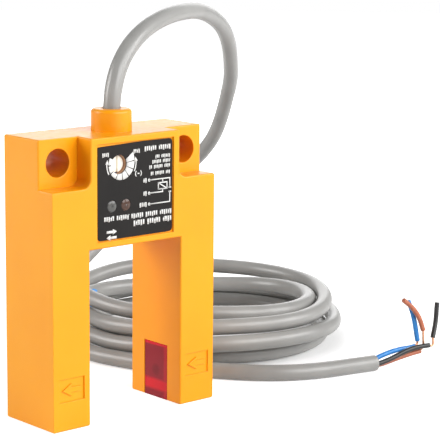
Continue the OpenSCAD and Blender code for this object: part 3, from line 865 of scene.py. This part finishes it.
@dataclass
class Moulding:
    """A CAD solid copied as one closed mesh with softened edges."""

    node: str
    slot: Slot
    edge: float
    body: Body = Body.SENSOR
    segments: int = 3
    sharp: float = math.radians(28)
    blend: float = math.radians(50)

    def weights(self, middles: Array, low: Array, high: Array) -> Array:
        """How much of the edge's softening each sharp edge gets.

        Args:
            middles: middle of each sharp edge.
            low: lower corner of each edge's box; not used here.
            high: upper corner of each edge's box; not used here.

        Returns:
            A share from 0 to 1 for each edge; here all of it.
        """
        return np.ones(len(middles))

    def build(self, nodes: dict[str, Piece]) -> Piece:
        """Merges the solid's triangles, joins flat ones, bevels by weight and keeps flat faces flat.

        Args:
            nodes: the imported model's objects by name.

        Returns:
            The piece that stands for the node.
        """
        mesh = bpy.data.meshes.new(self.node + "_skin")
        work = bmesh.new()
        work.from_mesh(nodes[self.node].data)
        bmesh.ops.remove_doubles(work, verts=work.verts, dist=SAME_POINT_M)
        bmesh.ops.dissolve_limit(
            work, angle_limit=SAME_PLANE, verts=work.verts, edges=work.edges, delimit={"NORMAL"}
        )
        bmesh.ops.recalc_face_normals(work, faces=work.faces)
        layer = work.edges.layers.float.new("bevel_weight_edge")
        edges = [e for e in work.edges if len(e.link_faces) == 2 and e.calc_face_angle() > self.sharp]
        ends = np.array([[v.co for v in e.verts] for e in edges]).reshape(-1, 2, 3) / MM
        shares = self.weights(ends.mean(axis=1), ends.min(axis=1), ends.max(axis=1))
        shares = np.where([e.is_convex for e in edges], shares, 0.0)
        for edge, share in zip(edges, shares.tolist()):
            edge[layer] = share
            edge.smooth = share > 0 and self.edge > 0
        for face in work.faces:
            face.smooth = True
        work.to_mesh(mesh)
        work.free()
        mesh.materials.clear()
        mesh.materials.append(FINISHES[self.slot].material())
        piece = add_object(self.node + "_skin", mesh)
        if self.edge > 0:
            bevel = piece.modifiers.new("soft_edges", "BEVEL")
            bevel.limit_method = "WEIGHT"
            bevel.width = self.edge * MM
            bevel.segments = self.segments
            bevel.use_clamp_overlap = False
            evaluated = piece.evaluated_get(bpy.context.evaluated_depsgraph_get())
            soft = bpy.data.meshes.new_from_object(evaluated)
            keep_in_box(soft, mesh)
            soft.normals_split_custom_set(corner_normals(soft, self.blend).tolist())
            piece.modifiers.clear()
            piece.data = soft
        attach(piece, self.body.value)
        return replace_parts(piece, self.node)


@dataclass
class Housing(Moulding):
    """The moulded fork: crisp outer edges, finer rims round its openings, plain inside."""

    node: str = "housing"
    slot: Slot = Slot.HOUSING
    edge: float = 0.45
    half_w: float = 26.5
    half_slot: float = 15.0
    slot_h: float = 45.6
    height: float = 74.0
    half_d: float = 10.3
    ear_y: float = -4.5
    ear_z: float = 61.5
    notch_x: float = 14.5
    notch_r: float = 2.3
    hole: tuple[float, float, float] = (20.5, 67.75, 3.6)
    boss_r: float = 5.3
    rim_share: float = 0.28
    hole_share: float = 0.6
    near: float = 0.02
    near_round: float = 0.06
    near_hole: float = 0.08

    def weights(self, middles: Array, low: Array, high: Array) -> Array:
        """An edge on two outer faces is an outer edge, and one on a single outer face is a rim.

        Args:
            middles: middle of each sharp edge.
            low: lower corner of each edge's box.
            high: upper corner of each edge's box.

        Returns:
            A share from 0 to 1 for each edge.
        """
        x = np.abs(middles[:, 0])
        y, z = middles[:, 1], middles[:, 2]
        flat = np.abs(high - low) < self.near

        def on(axis: int, place: float) -> Array:
            """Edges that lie in the plane at a distance from the middle, on either side."""
            return flat[:, axis] & (np.abs(np.abs(middles[:, axis]) - place) < self.near)

        def on_round(off_axis: Array, radius: float) -> Array:
            """Edges whose middle is a radius away from an axis."""
            return np.abs(off_axis - radius) < self.near_round

        notch = np.hypot(x - self.notch_x - self.notch_r, z - self.ear_z - self.notch_r)
        inner_corner = (x < self.notch_x + self.notch_r) & (z < self.ear_z + self.notch_r)
        in_front = y < self.ear_y + self.near
        faces = [
            on(1, self.half_d),
            on(0, self.half_w),
            on(2, 0.0),
            on(2, self.height),
            on(0, self.half_slot) & (z < self.slot_h + self.near),
            on(2, self.slot_h) & (x < self.half_slot + self.near),
            flat[:, 1] & (np.abs(y - self.ear_y) < self.near),
            on(0, self.notch_x) & (z > self.ear_z) & in_front,
            on(2, self.ear_z) & (x > self.notch_x) & in_front,
            on_round(notch, self.notch_r) & inner_corner & in_front,
            on_round(np.hypot(x, y), self.boss_r) & (z > self.height - self.near),
        ]
        count = np.sum(faces, axis=0)
        shares = np.where(count >= 2, 1.0, np.where(count == 1, self.rim_share, 0.0))
        off_hole = np.hypot(x - self.hole[0], z - self.hole[1])
        in_hole = np.abs(off_hole - self.hole[2]) < self.near_hole
        return np.where(in_hole & (count >= 1), self.hole_share, shares)


@dataclass
class LabelPrint:
    """White print on the film: a growing scale round the trimmer, rows of marks and a wiring plan.

    Places are X and Z on the film's face, and every patch is a grid of points on that face. A row
    of marks is its two ends, its middle, its height and where its pattern of groups starts.
    """

    face_y: float = -10.0
    ink: float = 0.02
    line: float = 0.3
    trimmer: tuple[float, float] = (-5.4, 66.7)
    trimmer_r: float = 2.46
    scale_at: tuple[float, float] = (-4.65, 66.75)
    scale_r: float = 4.1
    scale_from: float = 152.0
    scale_to: float = 398.0
    scale_steps: int = 8
    scale_gap: float = 1.8
    scale_flare: float = 0.6
    flare_power: int = 8
    segment_steps: int = 8
    arc_arrows: Route = ((4.65, 211, 177), (4.75, 332, 364))
    arc_band: Route = ((-0.16,), (0.16,))
    arc_head: Route = ((-0.55, -0.02), (0.55, 0.02))
    arc_head_turn: float = 14.0
    arc_steps: int = 14
    mark_pitch: float = 0.5
    mark_w: float = 0.66
    mark_foot: tuple[float, float] = (0.5, 0.36)
    mark_cap: float = 0.32
    mark_group: int = 7
    rows_above: Route = (
        (-10.9, -8.5, 69.4, 1.1, 0), (-0.8, 1.5, 69.6, 1.1, 0), (2.6, 11.7, 69.9, 1.35, 0),
        (6.4, 11.5, 67.6, 1.0, 0), (5.5, 11.5, 66.3, 1.0, 1), (4.1, 11.5, 65.0, 1.0, 2),
        (4.7, 11.5, 63.3, 1.0, 3),
    )
    rows_below: Route = ((-10.4, 12.1, 52.9, 1.35, 0), (-1.2, 12.1, 51.0, 1.5, 2))
    eye: tuple[float, float] = (0.9, 63.8)
    eye_half: float = 0.3
    eye_turn: float = 45.0
    eye_steps: int = 7
    eye_band: Route = ((0.85,), (1.1,))
    terminal_rows: Route = (
        (2.2, 3.8, 61.7, 1.25, 0), (2.2, 3.8, 58.3, 1.25, 0), (0.8, 3.8, 55.45, 1.25, 0),
    )
    terminal_x: float = 4.45
    terminal_r: float = 0.42
    dot_core: float = 0.05
    dot_steps: int = 17
    wires: Sequence[Route] = (
        ((4.45, 61.7), (11.35, 61.7), (11.35, 59.2)),
        ((10.9, 59.2), (11.8, 59.2)),
        ((10.9, 58.1), (11.8, 58.1)),
        ((11.35, 58.1), (11.35, 55.45), (4.45, 55.45)),
        ((4.45, 58.3), (8.95, 58.3), (8.95, 59.05)),
        ((8.95, 60.7), (8.95, 61.7)),
        ((7.5, 59.05), (10.4, 59.05), (10.4, 60.7), (7.5, 60.7), (7.5, 58.95)),
        ((7.5, 60.7), (10.4, 59.05)),
    )
    flat_arrows: Route = ((-9.4, -6.2, 49.6), (-6.2, -9.4, 48.1))
    arrow_w: float = 0.66
    arrow_neck: float = 1.2
    arrow_head: tuple[float, float] = (0.72, 0.06)
    patches: list[Surface] = field(default_factory=list)

    def patch(self, x: Array, z: Array) -> None:
        """Adds a grid of points that faces the viewer.

        Args:
            x: X of the points, rows by columns.
            z: Z of the points.
        """
        rows, columns = x.shape
        points = np.stack([x, np.full(x.shape, self.face_y), z], axis=-1).reshape(-1, 3)
        quads = lattice(rows, columns, False)
        side_a = points[quads[:, 1]] - points[quads[:, 0]]
        side_b = points[quads[:, 3]] - points[quads[:, 0]]
        if np.cross(side_a, side_b)[:, 1].sum() > 0:
            quads = quads[:, ::-1]
        self.patches.append(Surface(points, quads.tolist()))

    def bar(self, x0: float, x1: float, z0: float, z1: float) -> None:
        """A filled rectangle between two corners."""
        self.patch(*np.meshgrid(np.array([x0, x1]), np.array([z0, z1])))

    def stroke(self, points: Route, width: float) -> None:
        """A line of even width: each point moved half a width both ways along its mitre.

        Args:
            points: X and Z of the corners.
            width: the line's width.
        """
        line = np.array(points, float)
        step = unit(np.diff(line, axis=0))
        normal = np.stack([-step[:, 1], step[:, 0]], axis=1)
        before = np.vstack([normal[:1], normal])
        after = np.vstack([normal, normal[-1:]])
        mitre = unit(before + after)
        mitre = mitre * width / 2 / (mitre * after).sum(1, keepdims=True)
        edges = np.stack([line - mitre, line + mitre])
        self.patch(edges[..., 0], edges[..., 1])

    def ring(self, centre: tuple[float, float], radii: Array, angles: Array) -> None:
        """A band round a centre.

        Args:
            centre: X and Z of the centre.
            radii: inner and outer radius, two rows, for all angles or for each.
            angles: directions in degrees, from +X towards +Z.
        """
        turn = np.radians(angles)
        self.patch(centre[0] + radii * np.cos(turn), centre[1] + radii * np.sin(turn))

    def dot(self, x: float, z: float, r: float) -> None:
        """A filled round spot."""
        self.ring((x, z), np.array([[r * self.dot_core], [r]]), np.linspace(0, 360, self.dot_steps))

    def scale(self) -> None:
        """Segments beside the trimmer's hole, whose outer radius flares in the last step.

        The scale is printed a little off the hole's middle. Its inner edge is where a ray from its own
        centre meets the hole: the root of R2 - d2 + (d.u)2, less d.u, for an offset d and a direction u.
        """
        whole = self.scale_to - self.scale_from
        span = whole / self.scale_steps
        offset = np.array(self.scale_at) - np.array(self.trimmer)
        for k in range(self.scale_steps):
            start = self.scale_from + k * span
            ends = (start + self.scale_gap, start + span - self.scale_gap)
            angles = np.linspace(*ends, self.segment_steps)
            share = (angles - self.scale_from) / whole
            outer = self.scale_r + self.scale_flare * share**self.flare_power
            along = offset @ np.stack([np.cos(np.radians(angles)), np.sin(np.radians(angles))])
            inner = np.sqrt(self.trimmer_r**2 - offset @ offset + along**2) - along
            self.ring(self.scale_at, np.stack([inner, outer]), angles)

    def arc_arrow(self, r: float, start: float, end: float) -> None:
        """A thin arc round the scale with a head at its end.

        Args:
            r: the arc's radius.
            start: where it starts, in degrees.
            end: where its head starts.
        """
        self.ring(self.scale_at, r + np.array(self.arc_band), np.linspace(start, end, self.arc_steps))
        tip = end + math.copysign(self.arc_head_turn, end - start)
        self.ring(self.scale_at, r + np.array(self.arc_head), np.array([end, tip]))

    def row(self, x0: float, x1: float, z: float, height: float, first: int) -> None:
        """A row of short upright marks in groups, a plain stand-in for a printed line.

        Of seven places the last is empty, each third mark has a longer foot, and each fourth a cap.

        Args:
            x0: left end.
            x1: right end.
            z: middle of the row.
            height: height of the tallest mark.
            first: where in the pattern of groups the row starts.
        """
        pitch = self.mark_pitch * height
        top = z + height / 2
        for k in range(int((x1 - x0) / pitch)):
            place = k + first
            if (place + 1) % self.mark_group == 0:
                continue
            foot = self.mark_foot[0 if place % 3 == 0 else 1]
            x = x1 - (k + 1) * pitch
            self.bar(x, x + self.mark_w * pitch, z - height * foot, top)
            if place % 4 == 1:
                self.bar(x, x + pitch, z + height * self.mark_cap, top)

    def flat_arrow(self, tail_x: float, tip_x: float, z: float) -> None:
        """A straight arrow with a filled head.

        Args:
            tail_x: X of its blunt end.
            tip_x: X of its tip.
            z: its height.
        """
        neck = tip_x - math.copysign(self.arrow_neck, tip_x - tail_x)
        self.stroke(((tail_x, z), (neck, z)), self.arrow_w)
        half = np.array(self.arrow_head)
        self.patch(np.array([[neck, tip_x], [neck, tip_x]]), np.stack([z - half, z + half]))

    def wiring(self) -> None:
        """Three terminals, a load box and an open contact, joined by lines."""
        for row in self.terminal_rows:
            self.row(*row)
            self.dot(self.terminal_x, row[2], self.terminal_r)
        for wire in self.wires:
            self.stroke(wire, self.line)

    def build(self) -> Piece:
        """Draws every mark, then gives the ink its thickness.

        Returns:
            The print as one piece.
        """
        self.scale()
        for arrow in self.arc_arrows:
            self.arc_arrow(*arrow)
        for row in self.rows_above:
            self.row(*row)
        x, z = self.eye
        self.stroke(((x - self.eye_half, z), (x + self.eye_half, z)), self.line)
        lid = np.linspace(-self.eye_turn, self.eye_turn, self.eye_steps)
        for middle in (180, 0):
            self.ring(self.eye, np.array(self.eye_band), middle + lid)
        self.wiring()
        for row in self.rows_below:
            self.row(*row)
        for arrow in self.flat_arrows:
            self.flat_arrow(*arrow)
        piece = Surface.joined(self.patches).piece("label_print", PRINT.material())
        thick = piece.modifiers.new("ink", "SOLIDIFY")
        thick.thickness = self.ink * MM
        thick.offset = 1.0
        return piece


@dataclass
class Lead:
    """The grey lead: out of the gland, over in an arch, round the loose coil and out to its bare end.

    The coil is given as radius and height at even turns about its centre, and the lead is a smooth
    line through arch, coil and tail.
    """

    diameter: float = 4.6
    sides: int = 28
    rim: float = 0.35
    pitch: float = 1.5
    ease: int = 6
    span_steps: int = 8
    exit: tuple[float, float, float] = (0.0, 0.0, 79.7)
    coil_centre: tuple[float, float] = (72.0, 43.0)
    coil_start: float = 139.0
    coil_step: float = 45.0
    coil_samples: int = 4
    arch_side: tuple[float, float, float] = (0.55, -0.83, 0.0)
    swing_from: float = 90.0
    swing_over: float = 150.0
    arch: Route = (
        (0, 0, 71), (0, 0, 76), (0, 0, 80), (0.5, 0, 84.7), (2, 0.5, 88.7), (5, 1.5, 92.7),
        (10, 3, 96.7), (17, 6, 99.5), (27, 10.5, 101.5), (38, 16.5, 102), (49, 23.5, 101.5),
        (60, 31, 99.5), (70, 38, 96.5), (79, 45, 92.5), (86, 51, 87.5), (92, 57, 82),
        (97.5, 63, 76), (102, 70, 69), (106, 77, 61.5), (108.5, 84, 53.5), (108, 91, 46.5),
        (104, 96, 40.5), (97, 98.5, 36), (88, 98, 32.5), (78, 94.5, 29.5), (68, 88.5, 27),
        (58, 81, 24.5), (48, 77.6, 20.3),
    )
    coil: Route = (
        (43.4, 17.1), (35.8, 13.7), (30.5, 13.9), (30.5, 12.8),
        (30.4, 12), (31, 10.8), (30, 9.5), (31.5, 10.6),
        (39.8, 11.5), (41, 10.1), (39.5, 12), (37.5, 11.7),
        (35.2, 12.3), (38, 12.8), (40.5, 13.4), (41.3, 14.5),
        (45.4, 10.4), (43.2, 5.7), (43, 7.8), (40.8, 7.6),
        (38, 6.2), (41, 5.8), (42.5, 6), (41.5, 6.9),
        (36.3, 6.6), (35, 5.8), (35.4, 3), (34.4, 2.3),
        (34.6, 2.3), (37.6, 2.3), (39.5, 2.3), (40.3, 2.3),
        (43.4, 2.3), (47.4, 2.3),
    )
    tail: Route = (
        (29, 24, 2.3), (33, 14, 2.3), (39.5, 4, 2.3), (46.5, -5, 2.3), (54.5, -11.5, 2.3),
        (64, -15.5, 2.3), (73, -17.2, 2.3), (80.8, -19, 2.3),
    )

    def route(self) -> Array:
        """Centre line: a point of the coil is its centre plus radius along the turn.

        No point is lower than the jacket's radius, so the lead rests on the floor.

        Returns:
            Evenly spaced points.
        """
        radius, height = smooth_line(self.coil, self.coil_samples).T
        step = self.coil_step / self.coil_samples
        turn = np.radians(self.coil_start + step * np.arange(len(radius)))
        x = self.coil_centre[0] + radius * np.cos(turn)
        y = self.coil_centre[1] + radius * np.sin(turn)
        knots = np.vstack([self.arch, np.stack([x, y, height], axis=1), self.tail])
        line = eased_line(even_line(smooth_line(knots, self.span_steps), self.pitch), self.ease)
        return np.maximum(line, [-np.inf, -np.inf, self.diameter / 2])

    def guides(self, line: Array) -> Array:
        """Side vectors that start square to the arch's plane and swing upright towards the coil.

        The swing's share s grows evenly along the lead and is smoothed to s2 (3 - 2 s).

        Args:
            line: the lead's centre line.

        Returns:
            One vector for each point.
        """
        share = np.clip((reach_of(line) - self.swing_from) / self.swing_over, 0, 1)
        share = (share * share * (3 - 2 * share))[:, None]
        return (1 - share) * np.array(self.arch_side) + share * UP

    def build(self, ends: Sequence[Piece]) -> Piece:
        """Args:
            ends: the pieces that belong to the lead's far end and its coil; not used.

        Returns:
            The jacket.
        """
        line = self.route()
        shell = tube(line, self.diameter / 2, self.sides, self.guides(line), self.rim)
        jacket = shell.stand_in("lead_jacket", Slot.JACKET, "cable_riser", "cable_coil", "cable_tail")
        return jacket


@dataclass
class Conductor:
    """One core of the lead's end: insulation, bare strands, and the cut slug left on the strands."""

    colour: str
    slot: Slot
    core: Route
    strands: Route
    slug: Route
    core_d: float = 1.4
    core_rim: float = 0.12
    core_sides: int = 16
    core_pitch: float = 0.5
    core_steps: int = 12
    strand_d: float = 0.25
    strand_rim: float = 0.04
    strand_sides: int = 8
    strand_pitch: float = 0.2
    strand_steps: int = 16
    bundle_d: float = 0.7
    outer_strands: int = 6
    lay_length: float = 7.0

    def sleeve(self, node: str, knots: Route) -> Piece:
        """A stretch of insulation swept along a smooth line through its knots.

        Args:
            node: the CAD node that it stands for.
            knots: points of its route.

        Returns:
            The piece.
        """
        line = even_line(smooth_line(knots, self.core_steps), self.core_pitch)
        shell = tube(line, self.core_d / 2, self.core_sides, BACKWARDS, self.core_rim)
        return shell.stand_in(node + "_skin", self.slot, node)

    def bundle(self) -> Piece:
        """Strands wound round a straight one: each runs on a circle that turns along the line.

        Returns:
            The piece.
        """
        line = even_line(smooth_line(self.strands, self.strand_steps), self.strand_pitch)
        across, along = side_vectors(unit(np.gradient(line, axis=0)), BACKWARDS)
        offset = (self.bundle_d - self.strand_d) / 2
        wind = reach_of(line) * 2 * math.pi / self.lay_length
        lines = [line]
        for k in range(self.outer_strands):
            turn = (k * 2 * math.pi / self.outer_strands + wind)[:, None]
            lines.append(line + offset * (np.cos(turn) * across + np.sin(turn) * along))
        size = (self.strand_d / 2, self.strand_sides, BACKWARDS, self.strand_rim)
        strands = Surface.joined([tube(strand, *size) for strand in lines])
        node = "copper_" + self.colour
        return strands.stand_in(node + "_strands", Slot.COPPER, node)

    def build(self) -> list[Piece]:
        """Insulation, strands and slug.

        Returns:
            The three pieces.
        """
        return [
            self.sleeve("core_" + self.colour, self.core),
            self.bundle(),
            self.sleeve("slug_" + self.colour, self.slug),
        ]


CONDUCTORS = (
    Conductor(
        "blue", Slot.CORE_BLUE,
        (
            (80.2, -18.9, 3.3), (82.7, -19.3, 4.1), (86.3, -19.8, 4.8),
            (90.1, -20.2, 5.1), (93.3, -20.4, 5), (95.6, -20.4, 5.1),
        ),
        ((95.2, -20.4, 5.1), (96.3, -20.7, 5.7), (96.4, -20.8, 7)),
        ((96.4, -20.8, 6.6), (95.7, -20, 12.5), (95.1, -19.4, 15.6), (94, -18.9, 18.6)),
    ),
    Conductor(
        "black", Slot.CORE_BLACK,
        (
            (80, -20, 2.2), (82.3, -20.6, 2.6), (85.6, -21.2, 3.4),
            (90, -21.9, 4.7), (93.8, -22.6, 5.4), (98.6, -23.5, 5.5),
        ),
        ((98.2, -23.4, 5.5), (99.6, -23.7, 5.3), (99.9, -23.7, 6.3), (99.9, -23.5, 7.9)),
        ((99.9, -23.5, 7.5), (101.6, -22.9, 11.9), (102.6, -22.4, 17.5)),
    ),
    Conductor(
        "brown", Slot.CORE_BROWN,
        ((80.4, -18.5, 1.5), (83.6, -19.1, 1.6), (88, -19.9, 2.4), (93, -21, 3.3), (96.6, -21.9, 3.8)),
        ((96.2, -21.8, 3.7), (97.5, -22, 5.1), (97.4, -22.1, 7.5), (97.5, -21.9, 10.2)),
        ((97.5, -21.9, 9.8), (96, -21.5, 13.7), (93.6, -21, 16.9), (90.3, -20.4, 19.6)),
    ),
)


@dataclass
class Tie:
    """A covered wire tied round three strands of the coil, its ends twisted together inside."""

    centre: tuple[float, float, float] = (72.0, 43.0, 0.0)
    turn: float = math.radians(151.5)
    radius: float = 42.5
    middle_z: float = 12.4
    half_w: float = 5.1
    half_h: float = 6.6
    corner_power: float = 0.8
    wire: float = 1.2
    wire_rim: float = 0.1
    end_z: float = 14.8
    end_l: float = 2.2
    twist: float = 4.5
    loop_steps: int = 72
    loop_sides: int = 12
    end_steps: int = 30
    end_sides: int = 10

    def outward(self) -> Array:
        """Unit vector from the coil's centre to the tie."""
        return np.array([math.cos(self.turn), math.sin(self.turn), 0.0])

    def loop(self) -> Array:
        """The loop's centre line: an ellipse drawn towards its box, out from the coil and up.

        Its cosine and sine are raised to a power below 1, with their signs kept.

        Returns:
            Points round the loop, the last one step before the first.
        """
        angle = np.linspace(0, 2 * math.pi, self.loop_steps, endpoint=False)
        circle = np.stack([np.cos(angle), np.sin(angle)])
        flat, tall = (np.sign(circle) * np.abs(circle) ** self.corner_power)[..., None]
        out = self.radius + self.half_w * flat
        return np.array(self.centre) + out * self.outward() + (self.middle_z + self.half_h * tall) * UP

    def twisted_end(self, phase: float) -> Surface:
        """One of two wires wound round each other, leaving the loop towards the coil's centre.

        Args:
            phase: where on its circle the wire starts, in radians.

        Returns:
            The wire.
        """
        out = self.outward()
        s = np.linspace(0, self.end_l, self.end_steps)[:, None]
        wind = phase + s * 2 * math.pi / self.twist
        r = self.wire / 2
        middle = np.array(self.centre) + (self.radius - self.half_w - s) * out + self.end_z * UP
        line = middle + r * (np.cos(wind) * np.cross(UP, out) + np.sin(wind) * UP)
        return tube(line, r, self.end_sides, UP, self.wire_rim)

    def build(self) -> Piece:
        """Joins the loop and its twisted ends.

        Returns:
            The tie as one piece.
        """
        square = np.cross(UP, self.outward())
        loop = closed_tube(self.loop(), self.wire / 2, self.loop_sides, square)
        parts = [loop, self.twisted_end(0.0), self.twisted_end(math.pi)]
        return Surface.joined(parts).stand_in("coil_tie_skin", Slot.TIE, "coil_tie")


@dataclass
class InnerWorks:
    """The CAD nodes that stay as they are: boards, chips, wires and what else is inside."""

    record: dict[str, Any]

    def dress(self, nodes: dict[str, Piece]) -> int:
        """Gives each node the finish of its slot in the record.

        Args:
            nodes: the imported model's objects by name.

        Returns:
            How many nodes were dressed.
        """
        for part in self.record["subparts"]:
            mesh = nodes[part["node"]].data
            mesh.materials.clear()
            mesh.materials.append(FINISHES[Slot(part["material_slot"])].material())
        return len(self.record["subparts"])


@dataclass
class Studio:
    """White floor, even white surroundings, soft lamps and the camera.

    A lamp is its name, its place, the point that it faces, its side and its power in watts.
    """

    azimuth: float = -41.503
    elevation: float = 10.387
    roll: float = 0.536
    distance: float = 500.398
    look_at: tuple[float, float, float] = (37.711, 0.0, 46.055)
    lens: float = 149.30
    film_w: float = 36.0
    clip_m: tuple[float, float] = (0.01, 20.0)
    surround: float = 0.01
    gloss: float = 0.5
    floor_r: float = 1500.0
    floor_rings: int = 12
    floor_sides: int = 64
    floor_hub: float = 0.5
    floor_patch: float = 40.0
    floor_centre: tuple[float, float, float] = (50.0, 30.0, -0.05)
    floor_tones: tuple[Colour, Colour] = ((0.95, 0.95, 0.95), (0.94, 0.94, 0.94))
    coil_centre: tuple[float, float, float] = (72.0, 43.0, 0.0)
    coil_edge: tuple[float, float] = (38.0, 52.0)
    far_edge: tuple[float, float] = (200.0, 480.0)
    glow_in_coil: float = 0.02
    glow_near: float = 0.62
    lamps: Sequence[tuple[str, Sequence[float], Sequence[float], float, float]] = (
        ("key", (90, -670, 430), (20, 0, 45), 560, 6.6),
        ("side", (520, -420, 330), (20, 0, 45), 380, 3.2),
        ("rim", (-560, 380, 330), (20, 0, 45), 420, 4.9),
        ("back", (480, 525, 190), (20, 0, 70), 450, 1.3),
    )

    def seen_directly(self, tree: bpy.types.NodeTree) -> Socket:
        """One for rays from the camera and through clear pieces, less for gloss, nought for the rest.

        Args:
            tree: the nodes to add to.

        Returns:
            The value's socket.
        """
        path = add_node(tree, "LightPath", {})
        total = path["Is Camera Ray"]
        for name, level in (("Is Transmission Ray", 1.0), ("Is Glossy Ray", self.gloss)):
            part = add_node(tree, "Math", {0: path[name], 1: level}, operation="MULTIPLY")[0]
            total = add_node(tree, "Math", {0: total, 1: part}, operation="MAXIMUM")[0]
        return total

    def world(self) -> None:
        """Surroundings that light the object softly and look white."""
        world = bpy.data.worlds.new("white_surround")
        bpy.context.scene.world = world
        world.use_nodes = True
        tree = world.node_tree
        tree.nodes.clear()
        inputs = {"Value": self.seen_directly(tree), "To Min": self.surround, "To Max": 1.0}
        level = add_node(tree, "MapRange", inputs)["Result"]
        glow = add_node(tree, "Background", {"Color": WHITE, "Strength": level})["Background"]
        add_node(tree, "OutputWorld", {"Surface": glow})

    def floor(self) -> None:
        """A round white floor: radius times cosine and sine of the turn, on a grid of both.

        It looks whiter the further it is from the coil, and keeps its shadows under the coil.
        """
        radius = np.linspace(self.floor_hub, self.floor_r, self.floor_rings)[:, None]
        turn = np.arange(self.floor_sides) * 2 * math.pi / self.floor_sides
        x, y = radius * np.cos(turn), radius * np.sin(turn)
        points = np.stack([x, y, 0 * x], axis=-1).reshape(-1, 3) + np.array(self.floor_centre)
        quads = lattice(self.floor_rings, self.floor_sides, True)[:, ::-1]
        mesh = bpy.data.meshes.new("floor")
        mesh.from_pydata((points * MM).tolist(), [], quads.tolist() + [list(range(self.floor_sides))])
        sheet = NodeSheet("white_floor")
        clouds = sheet.noise(sheet.place(), self.floor_patch)
        sheet.join(sheet.blend(clouds, *self.floor_tones), "Base Color")
        sheet.set(Roughness=0.9, Specular_IOR_Level=0.1, Emission_Color=WHITE)
        away = sheet.distance(sheet.place(), self.coil_centre)
        coil_edge, far_edge = np.array([self.coil_edge, self.far_edge]) * MM
        near = sheet.between(away, self.glow_in_coil, self.glow_near, *coil_edge)
        far = sheet.between(away, 0.0, 1 - self.glow_near, *far_edge)
        glow = sheet.sum("MULTIPLY", self.seen_directly(sheet.tree), sheet.sum("ADD", near, far))
        sheet.join(glow, "Emission Strength")
        mesh.materials.append(sheet.material)
        add_object("floor", mesh)

    def stand(self, name: str, data: Any, axes: Sequence[Array], place: Array) -> Piece:
        """Puts a lamp or the camera in its place.

        Args:
            name: the object's name.
            data: the lamp or camera.
            axes: its own X, Y and Z, as unit vectors.
            place: where it is.

        Returns:
            The object.
        """
        thing = add_object(name, data)
        world = np.eye(4)
        world[:3] = np.stack([*axes, place * MM], axis=1)
        thing.matrix_world = Matrix(world.tolist())
        return thing

    def lamp(
        self, name: str, place: Sequence[float], aim: Sequence[float], size: float, power: float
    ) -> None:
        """A square soft lamp.

        Args:
            name: the lamp's name.
            place: where it is.
            aim: the point that it faces.
            size: its side.
            power: its power in watts.
        """
        data = bpy.data.lights.new(name, "AREA")
        data.shape = "SQUARE"
        data.size = size * MM
        data.energy = power
        back = unit(np.array(place, float) - np.array(aim, float))
        side = unit(np.cross(UP, back))
        lamp = self.stand(name, data, (side, np.cross(back, side), back), np.array(place, float))
        lamp.visible_camera = False

    def camera(self) -> None:
        """The photograph's view: backed off from the point looked at, and rolled a little."""
        azimuth, elevation, roll = np.radians([self.azimuth, self.elevation, self.roll])
        level = np.array([math.sin(azimuth), -math.cos(azimuth), 0.0])
        back = math.cos(elevation) * level + math.sin(elevation) * UP
        right = unit(np.cross(-back, UP))
        up = np.cross(right, -back)
        rolled_right = math.cos(roll) * right + math.sin(roll) * up
        rolled_up = -math.sin(roll) * right + math.cos(roll) * up
        data = bpy.data.cameras.new("view")
        data.lens = self.lens
        data.sensor_width = self.film_w
        data.clip_start, data.clip_end = self.clip_m
        place = np.array(self.look_at) + back * self.distance
        bpy.context.scene.camera = self.stand("view", data, (rolled_right, rolled_up, back), place)

    def build(self) -> None:
        """Camera, surroundings, floor and lamps."""
        self.camera()
        self.world()
        self.floor()
        for lamp in self.lamps:
            self.lamp(*lamp)
        bpy.context.scene.view_settings.view_transform = "Standard"


MOULDINGS: tuple[Moulding, ...] = (
    Housing(),
    Moulding("rear_cover", Slot.HOUSING, 0.2),
    Moulding("label_plate", Slot.FILM, 0.06, segments=2),
    Moulding("emitter_window", Slot.WINDOW, 0.25),
    Moulding("receiver_window", Slot.WINDOW, 0.25),
    Moulding("trimmer_rotor", Slot.ROTOR, 0.12, Body.TRIMMER, 2),
    Moulding("trimmer_body", Slot.TRIMMER, 0.0),
    Moulding("power_led", Slot.LAMP_CLEAR, 0.0),
    Moulding("output_led", Slot.LAMP_BROWN, 0.0),
)


def main() -> None:
    """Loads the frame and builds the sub-assemblies in order."""
    logging.basicConfig(level=logging.INFO, format="%(name)s: %(message)s")
    for leftover in list(bpy.data.objects):
        bpy.data.objects.remove(leftover)
    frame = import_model()
    Studio().build()
    pieces = [piece for conductor in CONDUCTORS for piece in conductor.build()]
    pieces.append(Tie().build())
    pieces.append(Lead().build(pieces))
    log.info("dressed %d solids", InnerWorks(frame["record"]).dress(frame["nodes"]))
    pieces += [moulding.build(frame["nodes"]) for moulding in MOULDINGS]
    pieces.append(LabelPrint().build())
    for piece in pieces:
        log.info("%s: %d faces", piece.name, len(piece.data.polygons))


if __name__ == "__main__":
    main()
